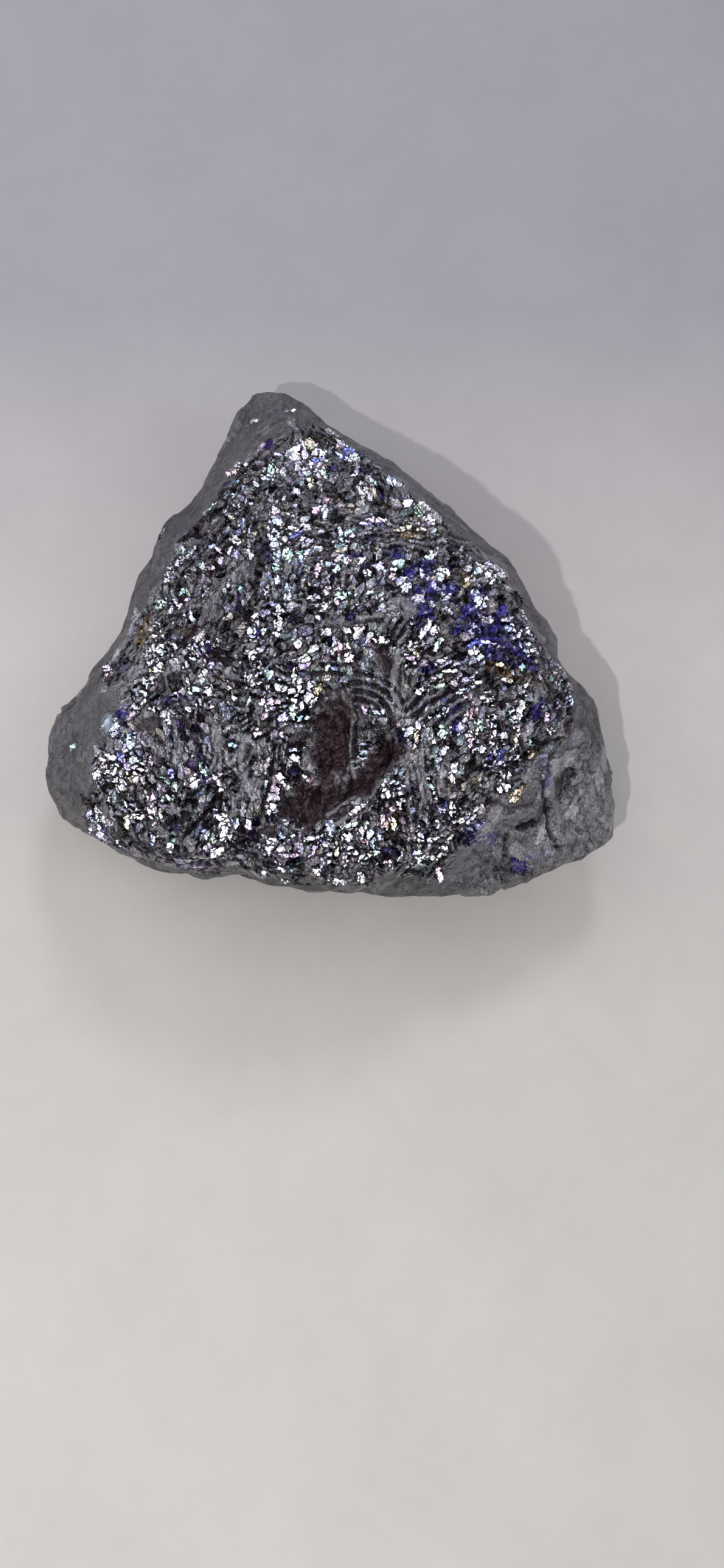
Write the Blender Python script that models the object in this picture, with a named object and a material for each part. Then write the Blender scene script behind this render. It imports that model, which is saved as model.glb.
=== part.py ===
"""A hand-sized chunk of crystalline silicon: one broken, faceted lump, lying on its flat broken face.

Metres, +Z up. The origin is the bottom centre of the lump's bounding box: the flat face it rests on is in the plane Z = 0.
+Y runs to the narrow tip of the roughly triangular outline and +X to the right of it.

The lump is laid out as a cage of corner points, in millimetres, the way it broke: a rim where its outline is widest, a crown of
crests, saddles and hollows above it, an undercut flank below it and the flat face underneath. The cage is triangulated in
plan, subdivided, softened a little along its edges, and then given the uneven relief of a granular fracture.
"""

import bmesh
import bpy
from mathutils import Vector, geometry, noise

MM = 0.001

# Driving dimensions, in millimetres.
LENGTH_X = 60.0  # outline, flank to flank
SUBDIVISIONS = 2  # each cage triangle becomes 4 ** SUBDIVISIONS triangles
EDGE_SOFTENING = 0.22  # share of one smoothing step, so that fracture edges aren't knife-sharp
RELIEF = 0.42  # height of the coarse fracture relief
RELIEF_SIZE = 4.2  # size of its bumps
GRAIN = 0.22  # height of the finer, angular relief
GRAIN_SIZE = 1.9  # size of its facets
FLAT_MARGIN = 2.5  # the relief fades out over this height above the resting face

# The rim, where the outline is widest: (x, y, z), clockwise from the tip seen from above.
RIM = [
    # the blunt tip
    (-9.0, 33.0, 9.0), (-7.0, 33.2, 9.0), (-4.5, 32.5, 9.5), (-2.5, 31.0, 10.0),
    # the hollow behind the tip, and the long right flank
    (0.0, 27.2, 11.0), (3.5, 25.5, 11.0), (6.5, 23.5, 11.5), (9.5, 20.7, 12.0), (13.0, 17.2, 12.5),
    (15.5, 14.2, 13.0), (19.0, 11.2, 13.0), (20.6, 8.2, 13.0), (21.6, 5.6, 12.5),
    # a small knob standing out of the right flank
    (23.4, 5.0, 10.5), (24.3, 3.3, 10.5), (24.0, 0.5, 11.5),
    # the right corner
    (25.7, -2.0, 12.0), (27.6, -4.0, 11.0), (28.6, -6.2, 10.0), (29.5, -10.5, 9.0), (29.8, -13.5, 8.5),
    (30.0, -15.2, 8.0), (29.5, -18.0, 8.0), (26.6, -20.2, 8.0),
    # the long near side, with a notch near the right corner
    (23.5, -21.0, 9.0), (20.5, -22.7, 9.5), (16.0, -24.4, 10.0), (10.5, -24.8, 10.5), (6.5, -24.4, 11.0),
    (2.5, -24.5, 11.5), (-2.0, -24.2, 11.5), (-6.0, -23.6, 12.0), (-9.5, -22.7, 12.0), (-13.0, -23.1, 11.5),
    (-17.0, -22.3, 11.0), (-21.0, -20.6, 10.5), (-25.0, -18.2, 10.0),
    # the rounded left corner
    (-28.0, -16.0, 9.5), (-29.5, -13.6, 9.0), (-30.0, -11.3, 8.5), (-29.9, -7.2, 8.5), (-28.9, -4.0, 8.5),
    # the left flank up to the tip
    (-26.2, -1.3, 9.0), (-24.1, 2.1, 9.0), (-22.6, 5.6, 9.0), (-21.1, 9.6, 9.5), (-19.5, 14.2, 9.5),
    (-18.2, 17.2, 9.5), (-15.6, 19.3, 10.0), (-14.0, 22.2, 9.5), (-12.4, 26.2, 9.0), (-10.6, 30.7, 9.0),
]

# The crown, above the rim: (x, y, z).
CREST_LEFT = [
    # where the steep left flank turns into the sparkling top, from the tip down to the left corner and along the near side
    (-6.9, 28.0, 13.4), (-8.6, 22.6, 15.8), (-10.5, 17.4, 16.6), (-13.2, 13.0, 16.2), (-15.7, 7.0, 17.0), (-17.6, 1.4, 17.2),
    (-20.2, -3.4, 16.2), (-22.5, -7.8, 15.6), (-24.1, -11.7, 14.8), (-23.5, -15.6, 14.6), (-20.4, -19.1, 15.2),
    (-14.6, -21.4, 16.4), (-8.3, -22.1, 17.2), (-0.9, -23.1, 16.8), (6.0, -23.4, 15.4),
]
CREST_RIGHT = [
    # where the thin right flank turns into the top
    (-3.2, 27.6, 13.4), (1.2, 23.0, 15.2), (5.4, 19.6, 16.8), (9.9, 15.2, 18.4), (14.3, 10.5, 19.4), (17.6, 6.5, 19.5), (19.4, 2.0, 18.9),
    (21.2, -2.7, 18.2), (22.4, -5.9, 16.8),
]
# a long crack that parts the smooth right corner from the rest, and the smooth face beside it
CRACK_TOP = [(22.4, -8.8, 15.6), (22.7, -12.3, 13.8), (23.0, -16.1, 11.6), (23.3, -19.3, 10.2)]
CRACK_FOOT = [(23.6, -9.0, 14.0), (23.9, -12.6, 12.4), (24.3, -16.4, 10.8)]
SMOOTH_FACE = [(18.6, -12.8, 17.0), (15.2, -17.6, 14.6), (12.6, -22.3, 12.8), (18.6, -20.5, 11.6), (21.4, -18.9, 11.0)]
CORNER = [(25.5, -6.6, 13.6), (26.9, -10.3, 11.8), (27.4, -14.4, 10.2)]
# the high ground, and a low step that runs across it
HIGH = [
    (-5.0, 18.2, 17.6), (-4.8, 11.8, 20.6), (-1.0, 14.7, 19.4), (4.2, 12.2, 20.4), (9.0, 9.4, 21.0), (-5.4, 4.0, 22.6), (0.2, 5.9, 23.0),
    (6.2, 6.1, 23.1), (11.2, 3.9, 22.2), (15.0, -0.7, 21.6), (-10.1, 7.9, 19.4), (-9.6, 12.6, 18.6), (2.0, 18.2, 18.0), (-3.6, 23.4, 16.0),
]
STEP_TOP = [(-7.6, -2.0, 21.8), (-3.6, -1.4, 23.2), (0.8, -0.8, 24.2), (5.2, 0.2, 24.9), (9.8, 0.6, 24.1)]
STEP_FOOT = [(-7.2, -3.5, 21.2), (-3.2, -2.9, 22.3), (1.4, -2.3, 23.1), (5.8, -1.4, 23.7), (10.2, -1.0, 23.3)]
# hollows with a smooth shell-like break, and the ribs between them
HOLLOW = [
    (-3.6, -6.2, 21.0), (0.2, -6.4, 19.8), (-0.6, -9.3, 18.2), (-2.8, -12.5, 18.2), (1.6, -12.9, 17.8), (4.0, -10.7, 18.6),
    (-3.8, -16.6, 17.2), (-0.6, -15.3, 17.4),
]
RIBS = [
    (3.2, -5.2, 21.4), (3.4, -8.7, 20.8), (6.2, -6.2, 22.6), (6.6, -9.9, 21.8), (9.4, -7.5, 21.9), (14.4, -6.5, 21.2), (12.0, -10.3, 20.9),
    (18.4, -7.3, 19.2), (6.2, -13.6, 20.0), (11.4, -14.0, 18.6), (7.2, -17.4, 18.4), (2.6, -19.6, 18.0), (8.8, -20.9, 16.2),
]
SLOPE = [
    # the left half falls away gently to its crest
    (-12.1, -1.1, 19.8), (-8.7, -7.7, 20.6), (-14.4, -7.0, 18.6), (-18.3, -10.6, 17.2), (-8.5, -13.8, 19.4), (-13.2, -14.6, 17.8),
    (-18.7, -16.2, 16.2), (-11.2, -18.6, 17.6), (-5.5, -20.0, 17.6),
]

# Below the rim a nearly upright band of uneven height, and then undercut broad facets: their corners (x, y, z), clockwise from
# the tip, and the flat face.
FLANK_CENTRE = (0.5, 1.0)
BAND_SHARE = 0.99  # of the rim's distance from the middle
BAND_HEIGHT = 2.6  # on average
LOWER = [
    (-7.0, 30.6, 4.6), (0.6, 25.2, 6.6), (7.2, 20.2, 4.8), (14.2, 12.7, 7.2), (19.8, 6.0, 5.4), (22.6, 0.4, 7.4), (26.6, -6.8, 4.2),
    (28.2, -14.6, 5.2), (24.6, -18.9, 3.8), (17.8, -21.8, 6.4), (9.2, -22.7, 4.8), (0.0, -22.0, 7.4), (-9.2, -20.8, 5.6),
    (-17.6, -20.2, 6.8), (-25.8, -16.8, 3.8), (-29.0, -10.6, 4.8), (-26.2, -3.6, 3.2), (-21.8, 4.4, 5.2), (-18.9, 13.8, 3.4),
    (-14.2, 21.0, 5.2), (-10.8, 28.6, 3.6),
]
BASE = [
    (-6.4, 25.4), (-0.6, 20.2), (5.2, 14.2), (10.6, 7.0), (15.4, 0.2), (20.0, -7.4), (21.6, -13.2), (17.0, -16.6), (8.6, -16.8),
    (-1.0, -15.0), (-10.6, -16.2), (-18.6, -16.8), (-25.2, -12.6), (-26.0, -7.6), (-22.6, -0.6), (-18.6, 7.0), (-15.8, 14.8),
    (-9.8, 23.6),
]


def clear_scene():
    for old in list(bpy.data.objects):
        bpy.data.objects.remove(old, do_unlink=True)


def triangulated(points, loops, lines=()):
    """Triangles of these (x, y, z) points, Delaunay in plan, inside the first loop and keeping every loop and line as edges."""
    edges = [(loop[i - 1], loop[i]) for loop in loops for i in range(len(loop))]
    edges += [(line[i], line[i + 1]) for line in lines for i in range(len(line) - 1)]
    flat = [Vector((p[0], p[1])) for p in points]
    _, _, faces, origin, _, _ = geometry.delaunay_2d_cdt(flat, edges, [list(loops[0])], 1, 1e-6)
    return [tuple(origin[i][0] for i in face) for face in faces]


def band(points):
    """The band's lower edge, under the rim."""
    cx, cy = FLANK_CENTRE
    made = []
    for x, y, z in points:
        uneven = noise.noise(Vector((0.17 * x, 0.17 * y, 5.0))) + 0.5 * noise.noise(Vector((0.45 * x, 0.45 * y, 9.0)))
        made.append((cx + BAND_SHARE * (x - cx), cy + BAND_SHARE * (y - cy), z - BAND_HEIGHT * (1.0 + 1.1 * uneven)))
    return made


def cage():
    """The lump's corner points and triangles, and the indices of the points on the flat face."""
    crests = [CREST_LEFT, CREST_RIGHT, CRACK_TOP, CRACK_FOOT, STEP_TOP, STEP_FOOT]
    points, lines = list(RIM), []
    for crest in crests:
        lines.append(list(range(len(points), len(points) + len(crest))))
        points += crest
    points += SMOOTH_FACE + CORNER + HIGH + HOLLOW + RIBS + SLOPE
    rim = list(range(len(RIM)))
    faces = triangulated(points, [rim], lines)

    # Underneath: the rim, the band, the corners of the undercut facets and the flat face, triangulated in plan and turned to
    # face down.
    rings = [RIM, band(RIM), LOWER, [(x, y, 0.0) for x, y in BASE]]
    below, loops = [], []
    for points_of_ring in rings:
        loops.append(list(range(len(below), len(below) + len(points_of_ring))))
        below += points_of_ring
    shift = len(points) - len(RIM)
    under = triangulated(below, loops)
    points += below[len(RIM):]
    faces += [tuple(i if i < len(RIM) else i + shift for i in reversed(face)) for face in under]
    flat = {i + shift for i in loops[-1]}
    return points, faces, flat


def angular(point, size):
    """A faceted relief between 0 and 1: how far a point is from the middle of its cell, as in broken coarse grains."""
    distances, _ = noise.voronoi(point / size)
    return min(1.0, distances[1] - distances[0])


def relief(point):
    """How far the broken surface stands out at this point, in millimetres."""
    coarse = noise.fractal(point / RELIEF_SIZE, 1.0, 2.1, 3, noise_basis="PERLIN_ORIGINAL")
    return RELIEF * coarse + GRAIN * (angular(point, GRAIN_SIZE) - 0.4)


def build_chunk():
    points, faces, flat = cage()
    bm = bmesh.new()
    tag = bm.faces.layers.int.new("resting_face")
    verts = [bm.verts.new(p) for p in points]
    bm.verts.ensure_lookup_table()
    for face in faces:
        bm.faces.new([verts[i] for i in face])
    on_base = {verts[i] for i in flat}
    base_faces = [f for f in bm.faces if all(v in on_base for v in f.verts)]
    for f in base_faces:
        f[tag] = 1
    bmesh.ops.recalc_face_normals(bm, faces=bm.faces)

    for _ in range(SUBDIVISIONS):
        # The resting face stays as it is but for its outline, because one flat plane needs no more.
        bmesh.ops.subdivide_edges(bm, edges=bm.edges, cuts=1, use_grid_fill=True)
    bmesh.ops.triangulate(bm, faces=bm.faces)

    resting = {v for f in bm.faces if f[tag] for v in f.verts}
    free = [v for v in bm.verts if v not in resting]
    softened = {}
    for v in free:
        ring_mean = sum((e.other_vert(v).co for e in v.link_edges), Vector()) / len(v.link_edges)
        softened[v] = v.co.lerp(ring_mean, EDGE_SOFTENING)
    for v, co in softened.items():
        v.co = co
    bm.normal_update()
    moved = {v: v.co + v.normal * relief(v.co) * min(1.0, v.co.z / FLAT_MARGIN) for v in free}
    for v, co in moved.items():
        v.co = Vector((co.x, co.y, max(co.z, 0.25)))

    # Put the origin at the bottom centre of the bounding box, and make the outline its stated length.
    low = Vector([min(v.co[i] for v in bm.verts) for i in range(3)])
    high = Vector([max(v.co[i] for v in bm.verts) for i in range(3)])
    middle = Vector(((low.x + high.x) / 2, (low.y + high.y) / 2, 0.0))
    scale = LENGTH_X / (high.x - low.x)
    for v in bm.verts:
        v.co = (v.co - middle) * scale * MM

    # One flat face needs few triangles: dissolve the inside of the resting face, and triangulate what is left.
    inner = [e for e in bm.edges if len(e.link_faces) == 2 and all(f[tag] for f in e.link_faces)]
    bmesh.ops.dissolve_edges(bm, edges=inner, use_verts=False)
    loose = [v for v in bm.verts if not v.link_faces]
    bmesh.ops.delete(bm, geom=loose, context="VERTS")
    bmesh.ops.triangulate(bm, faces=[f for f in bm.faces if len(f.verts) > 3])
    bmesh.ops.recalc_face_normals(bm, faces=bm.faces)

    mesh = bpy.data.meshes.new("silicon_chunk")
    bm.to_mesh(mesh)
    bm.free()
    return mesh


def grey_silicon():
    material = bpy.data.materials.new("grey_silicon")
    material.use_nodes = True
    shader = material.node_tree.nodes["Principled BSDF"]
    shader.inputs["Base Color"].default_value = (0.115, 0.112, 0.122, 1.0)
    shader.inputs["Metallic"].default_value = 0.75
    shader.inputs["Roughness"].default_value = 0.42
    return material


def main():
    clear_scene()
    home = bpy.data.collections.new("silicon_chunk")
    bpy.context.scene.collection.children.link(home)
    mesh = build_chunk()
    mesh.materials.append(grey_silicon())
    chunk = bpy.data.objects.new("silicon_chunk", mesh)
    home.objects.link(chunk)


main()
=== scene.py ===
"""The looks of the silicon chunk: its broken, crystalline surface, its finish, the floor, the lights and the camera.

Lengths in the tables and the surface code are in millimetres, in the part's own frame; meshes are built in metres.
"""

import math

import bmesh
import bpy
import numpy as np
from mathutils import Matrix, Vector, kdtree
from mathutils.bvhtree import BVHTree
from mathutils.geometry import delaunay_2d_cdt


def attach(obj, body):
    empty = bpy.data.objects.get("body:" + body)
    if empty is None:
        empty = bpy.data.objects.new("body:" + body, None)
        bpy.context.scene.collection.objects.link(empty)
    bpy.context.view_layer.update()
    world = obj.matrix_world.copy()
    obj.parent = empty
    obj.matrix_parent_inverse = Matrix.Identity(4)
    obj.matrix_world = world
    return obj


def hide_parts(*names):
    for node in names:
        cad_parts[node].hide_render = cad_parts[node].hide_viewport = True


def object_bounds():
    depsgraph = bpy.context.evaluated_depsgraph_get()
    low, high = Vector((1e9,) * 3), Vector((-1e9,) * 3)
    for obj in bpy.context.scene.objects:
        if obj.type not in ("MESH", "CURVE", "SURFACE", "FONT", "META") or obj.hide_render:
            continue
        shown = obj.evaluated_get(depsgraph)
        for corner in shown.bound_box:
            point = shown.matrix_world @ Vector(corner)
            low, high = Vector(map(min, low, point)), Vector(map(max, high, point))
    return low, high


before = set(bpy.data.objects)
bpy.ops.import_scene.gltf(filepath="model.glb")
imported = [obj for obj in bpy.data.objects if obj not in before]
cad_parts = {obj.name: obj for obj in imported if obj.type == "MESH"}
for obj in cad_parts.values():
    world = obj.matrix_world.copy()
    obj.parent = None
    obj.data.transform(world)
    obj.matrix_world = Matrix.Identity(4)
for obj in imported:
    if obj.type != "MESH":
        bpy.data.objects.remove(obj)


def plain(box):
    return [[float(x) for x in corner] for corner in box]


cad_box = plain(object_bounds())

MM = 0.001
rng = np.random.default_rng(14)  # silicon's atomic number, and the seed of every random number here

# ---------------------------------------------------------------------------------------------------------------- dimensions
# How far apart the surface's points lie: on the sparkling top, on the smooth margins, on the sides and on the resting face.
FINE, MARGIN, SIDE, RESTING = 0.128, 0.26, 0.42, 0.90
GRAIN = 6.5  # neighbouring grains of the ingot, within which crystals lie alike
EYE = np.array([3.4, -58.3, 163.6])
PITCH = 75.0  # degrees that the camera looks down
MIDDLE = np.array([0.0, -5.0, 14.0])
KEY_FROM, KEY_AWAY = np.array([-0.300, -0.600, 1.000]), 330.0
WINDOW_FROM, WINDOW_AWAY = np.array([0.16, 0.74, 0.65]), 700.0

# The sparkling top's outline in plan, clockwise from the tip. Outside it the margins are dull and smooth.
TOP = [
    (-9.8, 17.2), (-8.2, 17.4), (-7.0, 18.0), (-5.8, 19.2), (-4.4, 20.3), (-3.7, 21.8), (-2.4, 22.4), (-1.0, 22.5), (0.6, 21.8), (2.0, 20.6), (4.0, 18.5), (6.0, 16.3), (7.6, 13.6), (9.0, 12.0),
    (10.7, 10.5), (12.4, 8.8), (13.4, 7.3), (15.4, 5.4), (17.6, 3.4), (19.0, 1.9), (20.4, 0.1), (21.0, -1.7), (21.6, -3.4), (23.8, -5.0),
    (24.9, -7.4), (25.5, -10.0), (25.3, -12.5), (23.4, -13.8), (21.4, -15.2), (20.4, -16.8), (19.2, -19.6), (17.0, -20.4), (15.4, -21.6),
    (15.0, -23.0), (13.6, -24.6), (12.4, -26.6), (11.2, -27.6), (8.6, -27.6), (6.4, -27.4), (4.6, -28.5), (-1.8, -28.9), (-6.0, -28.2),
    (-9.6, -27.8), (-15.0, -26.8), (-20.6, -25.2), (-25.0, -23.0), (-25.4, -21.4), (-24.4, -19.4), (-24.2, -16.2), (-22.4, -13.6),
    (-21.4, -10.4), (-22.4, -8.2), (-24.4, -6.4), (-24.2, -4.2), (-21.8, -2.8), (-21.2, -0.6), (-18.6, 2.6), (-17.4, 5.0), (-16.0, 9.0),
    (-13.6, 10.8), (-12.2, 12.6), (-11.0, 15.2),
]

# Patches of the top, in plan: centre x and y, half lengths, turn in degrees, and how strong.
# Where crowds of small crystals face the light:
BRIGHT = [
    (-5.3, 4.8, 0.9, 5.6, 0, 1.0), (-3.4, 5.2, 1.3, 3.6, 0, 0.8), (-4.6, -3.2, 0.9, 4.0, 0, 0.75), (-2.0, 15.6, 1.7, 3.0, -10, 0.9),
    (-6.0, 14.8, 1.2, 1.3, 0, 0.8), (-3.6, -10.6, 2.7, 2.3, 0, 1.0), (-0.7, -8.6, 2.4, 1.6, 0, 0.8), (-20.6, -17.4, 3.1, 2.0, -15, 0.95),
    (-18.2, -21.8, 3.0, 1.4, -8, 0.8), (-13.2, -19.2, 2.6, 1.3, 0, 0.7), (-10.6, -24.2, 1.8, 2.4, 0, 0.75), (-4.6, -22.4, 2.4, 1.5, -25, 0.95),
    (-4.2, -19.3, 1.6, 1.1, -40, 0.95), (-5.2, -25.6, 2.8, 1.0, 0, 0.7), (1.4, -25.4, 2.6, 2.0, 0, 0.85), (2.2, -22.6, 2.2, 0.8, 22, 0.85),
    (6.2, -20.0, 1.5, 2.2, 10, 1.0), (16.8, -13.8, 3.4, 2.6, -10, 0.9), (11.2, -13.6, 2.2, 1.7, 25, 0.9), (17.4, -17.6, 1.2, 2.0, 20, 0.8),
    (19.6, -4.6, 1.8, 2.0, 0, 0.75), (9.8, 8.9, 1.3, 1.8, 20, 0.85), (15.8, 1.9, 1.5, 1.4, -20, 0.8), (11.3, 1.2, 0.8, 1.1, 0, 0.9),
    (4.2, 13.0, 1.8, 1.8, -40, 0.5), (2.0, 17.8, 2.2, 1.1, -35, 0.6), (4.9, 7.6, 1.6, 0.9, 0, 0.6), (1.4, 5.4, 1.4, 1.4, 0, 0.5),
    (1.6, 1.6, 2.6, 1.4, 0, 0.55), (0.8, -2.0, 3.6, 1.4, 0, 0.6), (3.0, -6.4, 3.0, 1.4, 0, 0.6), (8.8, -6.2, 1.2, 1.8, -10, 0.7),
    (12.0, -9.6, 2.6, 1.0, 15, 0.6), (-9.2, 5.4, 1.0, 1.7, 20, 0.7), (-16.2, 4.2, 1.3, 3.4, -25, 0.7), (-17.2, -0.4, 1.6, 1.0, 0, 0.75),
    (-17.6, -4.4, 1.5, 3.0, 0, 0.6), (-18.0, -9.6, 1.2, 2.2, 0, 0.6), (-12.8, -10.6, 1.9, 1.6, 0, 0.6), (-12.6, -6.2, 1.9, 1.5, 0, 0.5),
    (-7.0, -8.2, 1.0, 2.0, 0, 0.7), (-7.0, -4.6, 1.6, 1.6, 0, 0.5), (3.4, -16.6, 1.0, 1.6, 10, 0.6), (4.9, -12.8, 1.1, 0.7, -10, 0.6),
    (9.4, -25.4, 1.1, 2.2, 0, 0.6), (11.8, -22.0, 1.6, 1.5, 0, 0.5), (5.8, -23.6, 1.4, 1.3, 0, 0.6), (-2.6, -16.2, 2.0, 1.0, 10, 0.5),
    (22.6, -6.6, 1.6, 2.6, 20, 0.35), (-20.6, -14.4, 1.2, 1.2, 0, 0.7), (-23.6, -5.3, 0.8, 1.0, 0, 0.7), (-23.6, -21.8, 1.5, 1.4, 0, 0.5),
]
# Where few do, and the matrix shows dull grey:
DULL = [
    (-10.4, -15.6, 4.6, 3.0, 0, 1.0), (-13.4, 0.8, 2.4, 1.6, 10, 1.0), (9.6, -18.4, 2.4, 3.0, 10, 0.9), (-9.4, 2.0, 1.5, 1.6, 0, 0.8),
    (-20.2, -8.8, 1.4, 2.4, 0, 0.8), (7.2, -2.7, 1.5, 1.1, 0, 1.0), (2.4, -4.6, 3.0, 0.6, 4, 0.8), (-8.0, -20.8, 1.6, 3.0, 0, 0.7), (6.7, -10.4, 0.7, 4.2, 0, 0.9),
    (-14.6, 8.6, 1.0, 1.2, 0, 0.8), (-6.8, 9.8, 1.0, 2.2, 0, 0.5), (1.6, 8.8, 1.4, 1.4, 0, 0.4), (-13.4, -16.6, 2.6, 2.4, 0, 0.8),
    (12.6, -5.4, 1.8, 1.0, 0, 0.5), (-15.4, -22.6, 1.2, 1.6, -40, 0.8), (20.0, -10.0, 1.6, 1.4, 0, 0.6), (-18.4, -26.0, 2.6, 1.0, -20, 0.8),
]
# Smooth dark shell-like hollows:
HOLLOWS = [
    (0.5, -15.0, 2.1, 4.3, -3, 1.0), (-1.2, -21.3, 3.4, 2.2, 14, 1.0), (5.4, -17.2, 2.4, 1.6, 24, 1.0), (3.2, -19.2, 2.0, 1.4, 30, 1.0),
    (5.4, -8.1, 1.2, 1.2, -30, 0.85), (-2.2, -14.8, 1.4, 0.7, 0, 0.6), (3.0, -10.6, 0.5, 2.2, 5, 0.7), (2.6, -4.7, 2.6, 0.22, 4, 0.45),
    (-18.2, -12.8, 1.5, 0.7, 5, 0.65), (-14.4, -3.4, 1.7, 0.6, -8, 0.7), (-16.8, -8.8, 0.45, 0.9, 0, 0.7), (-5.4, -24.0, 1.1, 0.5, 0, 0.8),
    (-12.6, -22.4, 2.3, 0.20, 46, 1.0), (-10.0, -7.1, 1.6, 0.2, -5, 0.4), (13.2, 6.9, 1.1, 0.5, -20, 0.7), (-13.6, 8.4, 0.9, 0.5, 0, 0.6),
    (-4.6, 0.4, 0.4, 0.4, 0, 0.4), (14.8, -10.6, 0.9, 0.4, 30, 0.7), (17.2, -8.4, 0.9, 0.3, 0, 0.8), (2.0, -13.2, 0.5, 1.6, 0, 0.6), (24.6, -12.0, 0.5, 0.7, -20, 0.6), (1.9, -12.0, 0.35, 1.7, 4, 0.8), (-13.0, 0.0, 0.9, 0.25, 10, 0.4),
    (20.6, -22.0, 1.4, 0.26, 16, 0.85), (18.0, -24.6, 0.14, 1.2, -6, 0.7), (28.9, -16.2, 0.18, 0.9, 15, 0.7),
]
# Blue to violet tarnish, and gold:
BLUE = [
    (8.1, 0.5, 0.7, 1.9, -4, 1.0), (9.6, -3.4, 0.8, 2.6, 2, 1.0), (10.9, -0.6, 1.8, 1.4, 0, 1.0), (15.6, -4.2, 3.0, 2.3, -6, 1.0), (17.6, -3.4, 1.8, 1.6, 0, 0.9), (9.8, 2.2, 1.7, 0.9, 30, 0.9), (8.9, -2.0, 0.9, 1.6, 0, 0.9),
    (14.2, -3.2, 1.0, 1.6, 0, 0.9), (19.2, -3.9, 1.5, 1.4, 0, 0.8), (17.6, -6.2, 2.9, 1.1, -12, 0.95), (14.8, -0.2, 1.0, 0.9, 0, 0.9),
    (10.3, -8.7, 1.6, 0.55, 14, 1.0), (4.6, 7.3, 0.9, 0.7, 0, 0.9), (0.8, 15.0, 0.6, 0.9, 0, 0.8), (1.2, 17.4, 1.0, 0.7, -30, 0.8),
    (3.6, 15.0, 0.8, 0.7, 30, 0.6), (5.2, 12.2, 1.0, 0.6, -45, 0.6), (3.4, 18.6, 1.2, 0.5, -25, 0.7), (8.4, 9.0, 0.5, 0.7, 0, 0.7),
    (12.4, -12.7, 1.0, 0.8, 20, 0.8), (12.9, -14.2, 0.8, 1.0, 0, 1.0), (16.9, -16.6, 1.0, 0.7, -15, 0.9), (22.0, -17.4, 0.8, 1.6, 0, 0.7),
    (15.2, -23.6, 0.9, 0.6, 0, 0.8), (16.6, -23.8, 0.7, 0.5, 0, 0.7), (13.6, -23.6, 0.5, 0.5, 0, 0.8), (21.2, -25.1, 2.4, 0.36, 26, 0.6), (25.6, -24.2, 0.40, 0.35, 0, 0.7), (22.0, -16.3, 0.6, 1.2, 10, 0.9), (16.8, -23.3, 0.8, 0.35, 10, 0.9), (14.7, -23.8, 0.5, 0.6, 0, 0.9),
    (-5.8, -8.9, 0.5, 0.8, 0, 0.9), (-6.9, -5.0, 0.4, 0.6, 0, 0.8), (-15.9, -10.6, 0.6, 0.6, 0, 0.7), (-21.0, -11.2, 0.5, 1.3, 0, 0.6),
    (-23.0, -22.8, 0.6, 0.5, 0, 0.9), (-9.8, -1.4, 0.6, 0.5, 0, 0.6), (-15.4, 9.4, 0.8, 0.5, 0, 0.5), (-17.2, 5.6, 0.5, 0.8, 0, 0.4),
    (-5.9, 5.0, 0.6, 1.6, 0, 0.5), (2.4, 3.4, 1.6, 0.5, 0, 0.4), (6.2, 3.4, 1.6, 0.6, 0, 0.6), (22.4, -11.2, 1.2, 1.0, 0, 0.5),
    (-12.2, -18.8, 0.6, 0.4, 0, 0.6), (-15.6, -18.2, 0.5, 0.6, 0, 0.7), (-13.2, -4.6, 0.5, 0.6, 0, 0.4), (-19.8, -13.6, 0.8, 0.5, 0, 0.5), (14.0, -7.6, 1.4, 0.6, 20, 0.5),
]
GOLD = [
    (8.2, 6.2, 1.5, 0.6, 0, 1.0), (13.9, 1.2, 0.7, 1.1, 15, 1.0), (17.2, -8.1, 1.4, 0.7, -5, 0.9), (20.0, -8.5, 1.8, 0.7, -10, 0.45),
    (-19.3, -1.8, 0.8, 2.4, -5, 1.0), (-15.0, -3.0, 0.8, 0.5, 0, 0.6), (6.0, 10.2, 1.0, 0.4, 0, 0.4), (0.8, 10.6, 0.6, 0.4, 0, 0.5),
    (-0.8, 14.2, 0.4, 0.6, 0, 0.5), (20.6, -15.3, 0.7, 0.6, 30, 0.8), (11.6, -19.6, 0.6, 0.9, -20, 0.4), (6.4, -22.8, 0.5, 0.5, 0, 0.6), (18.8, -6.8, 1.4, 0.4, -10, 0.4),
]
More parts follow.
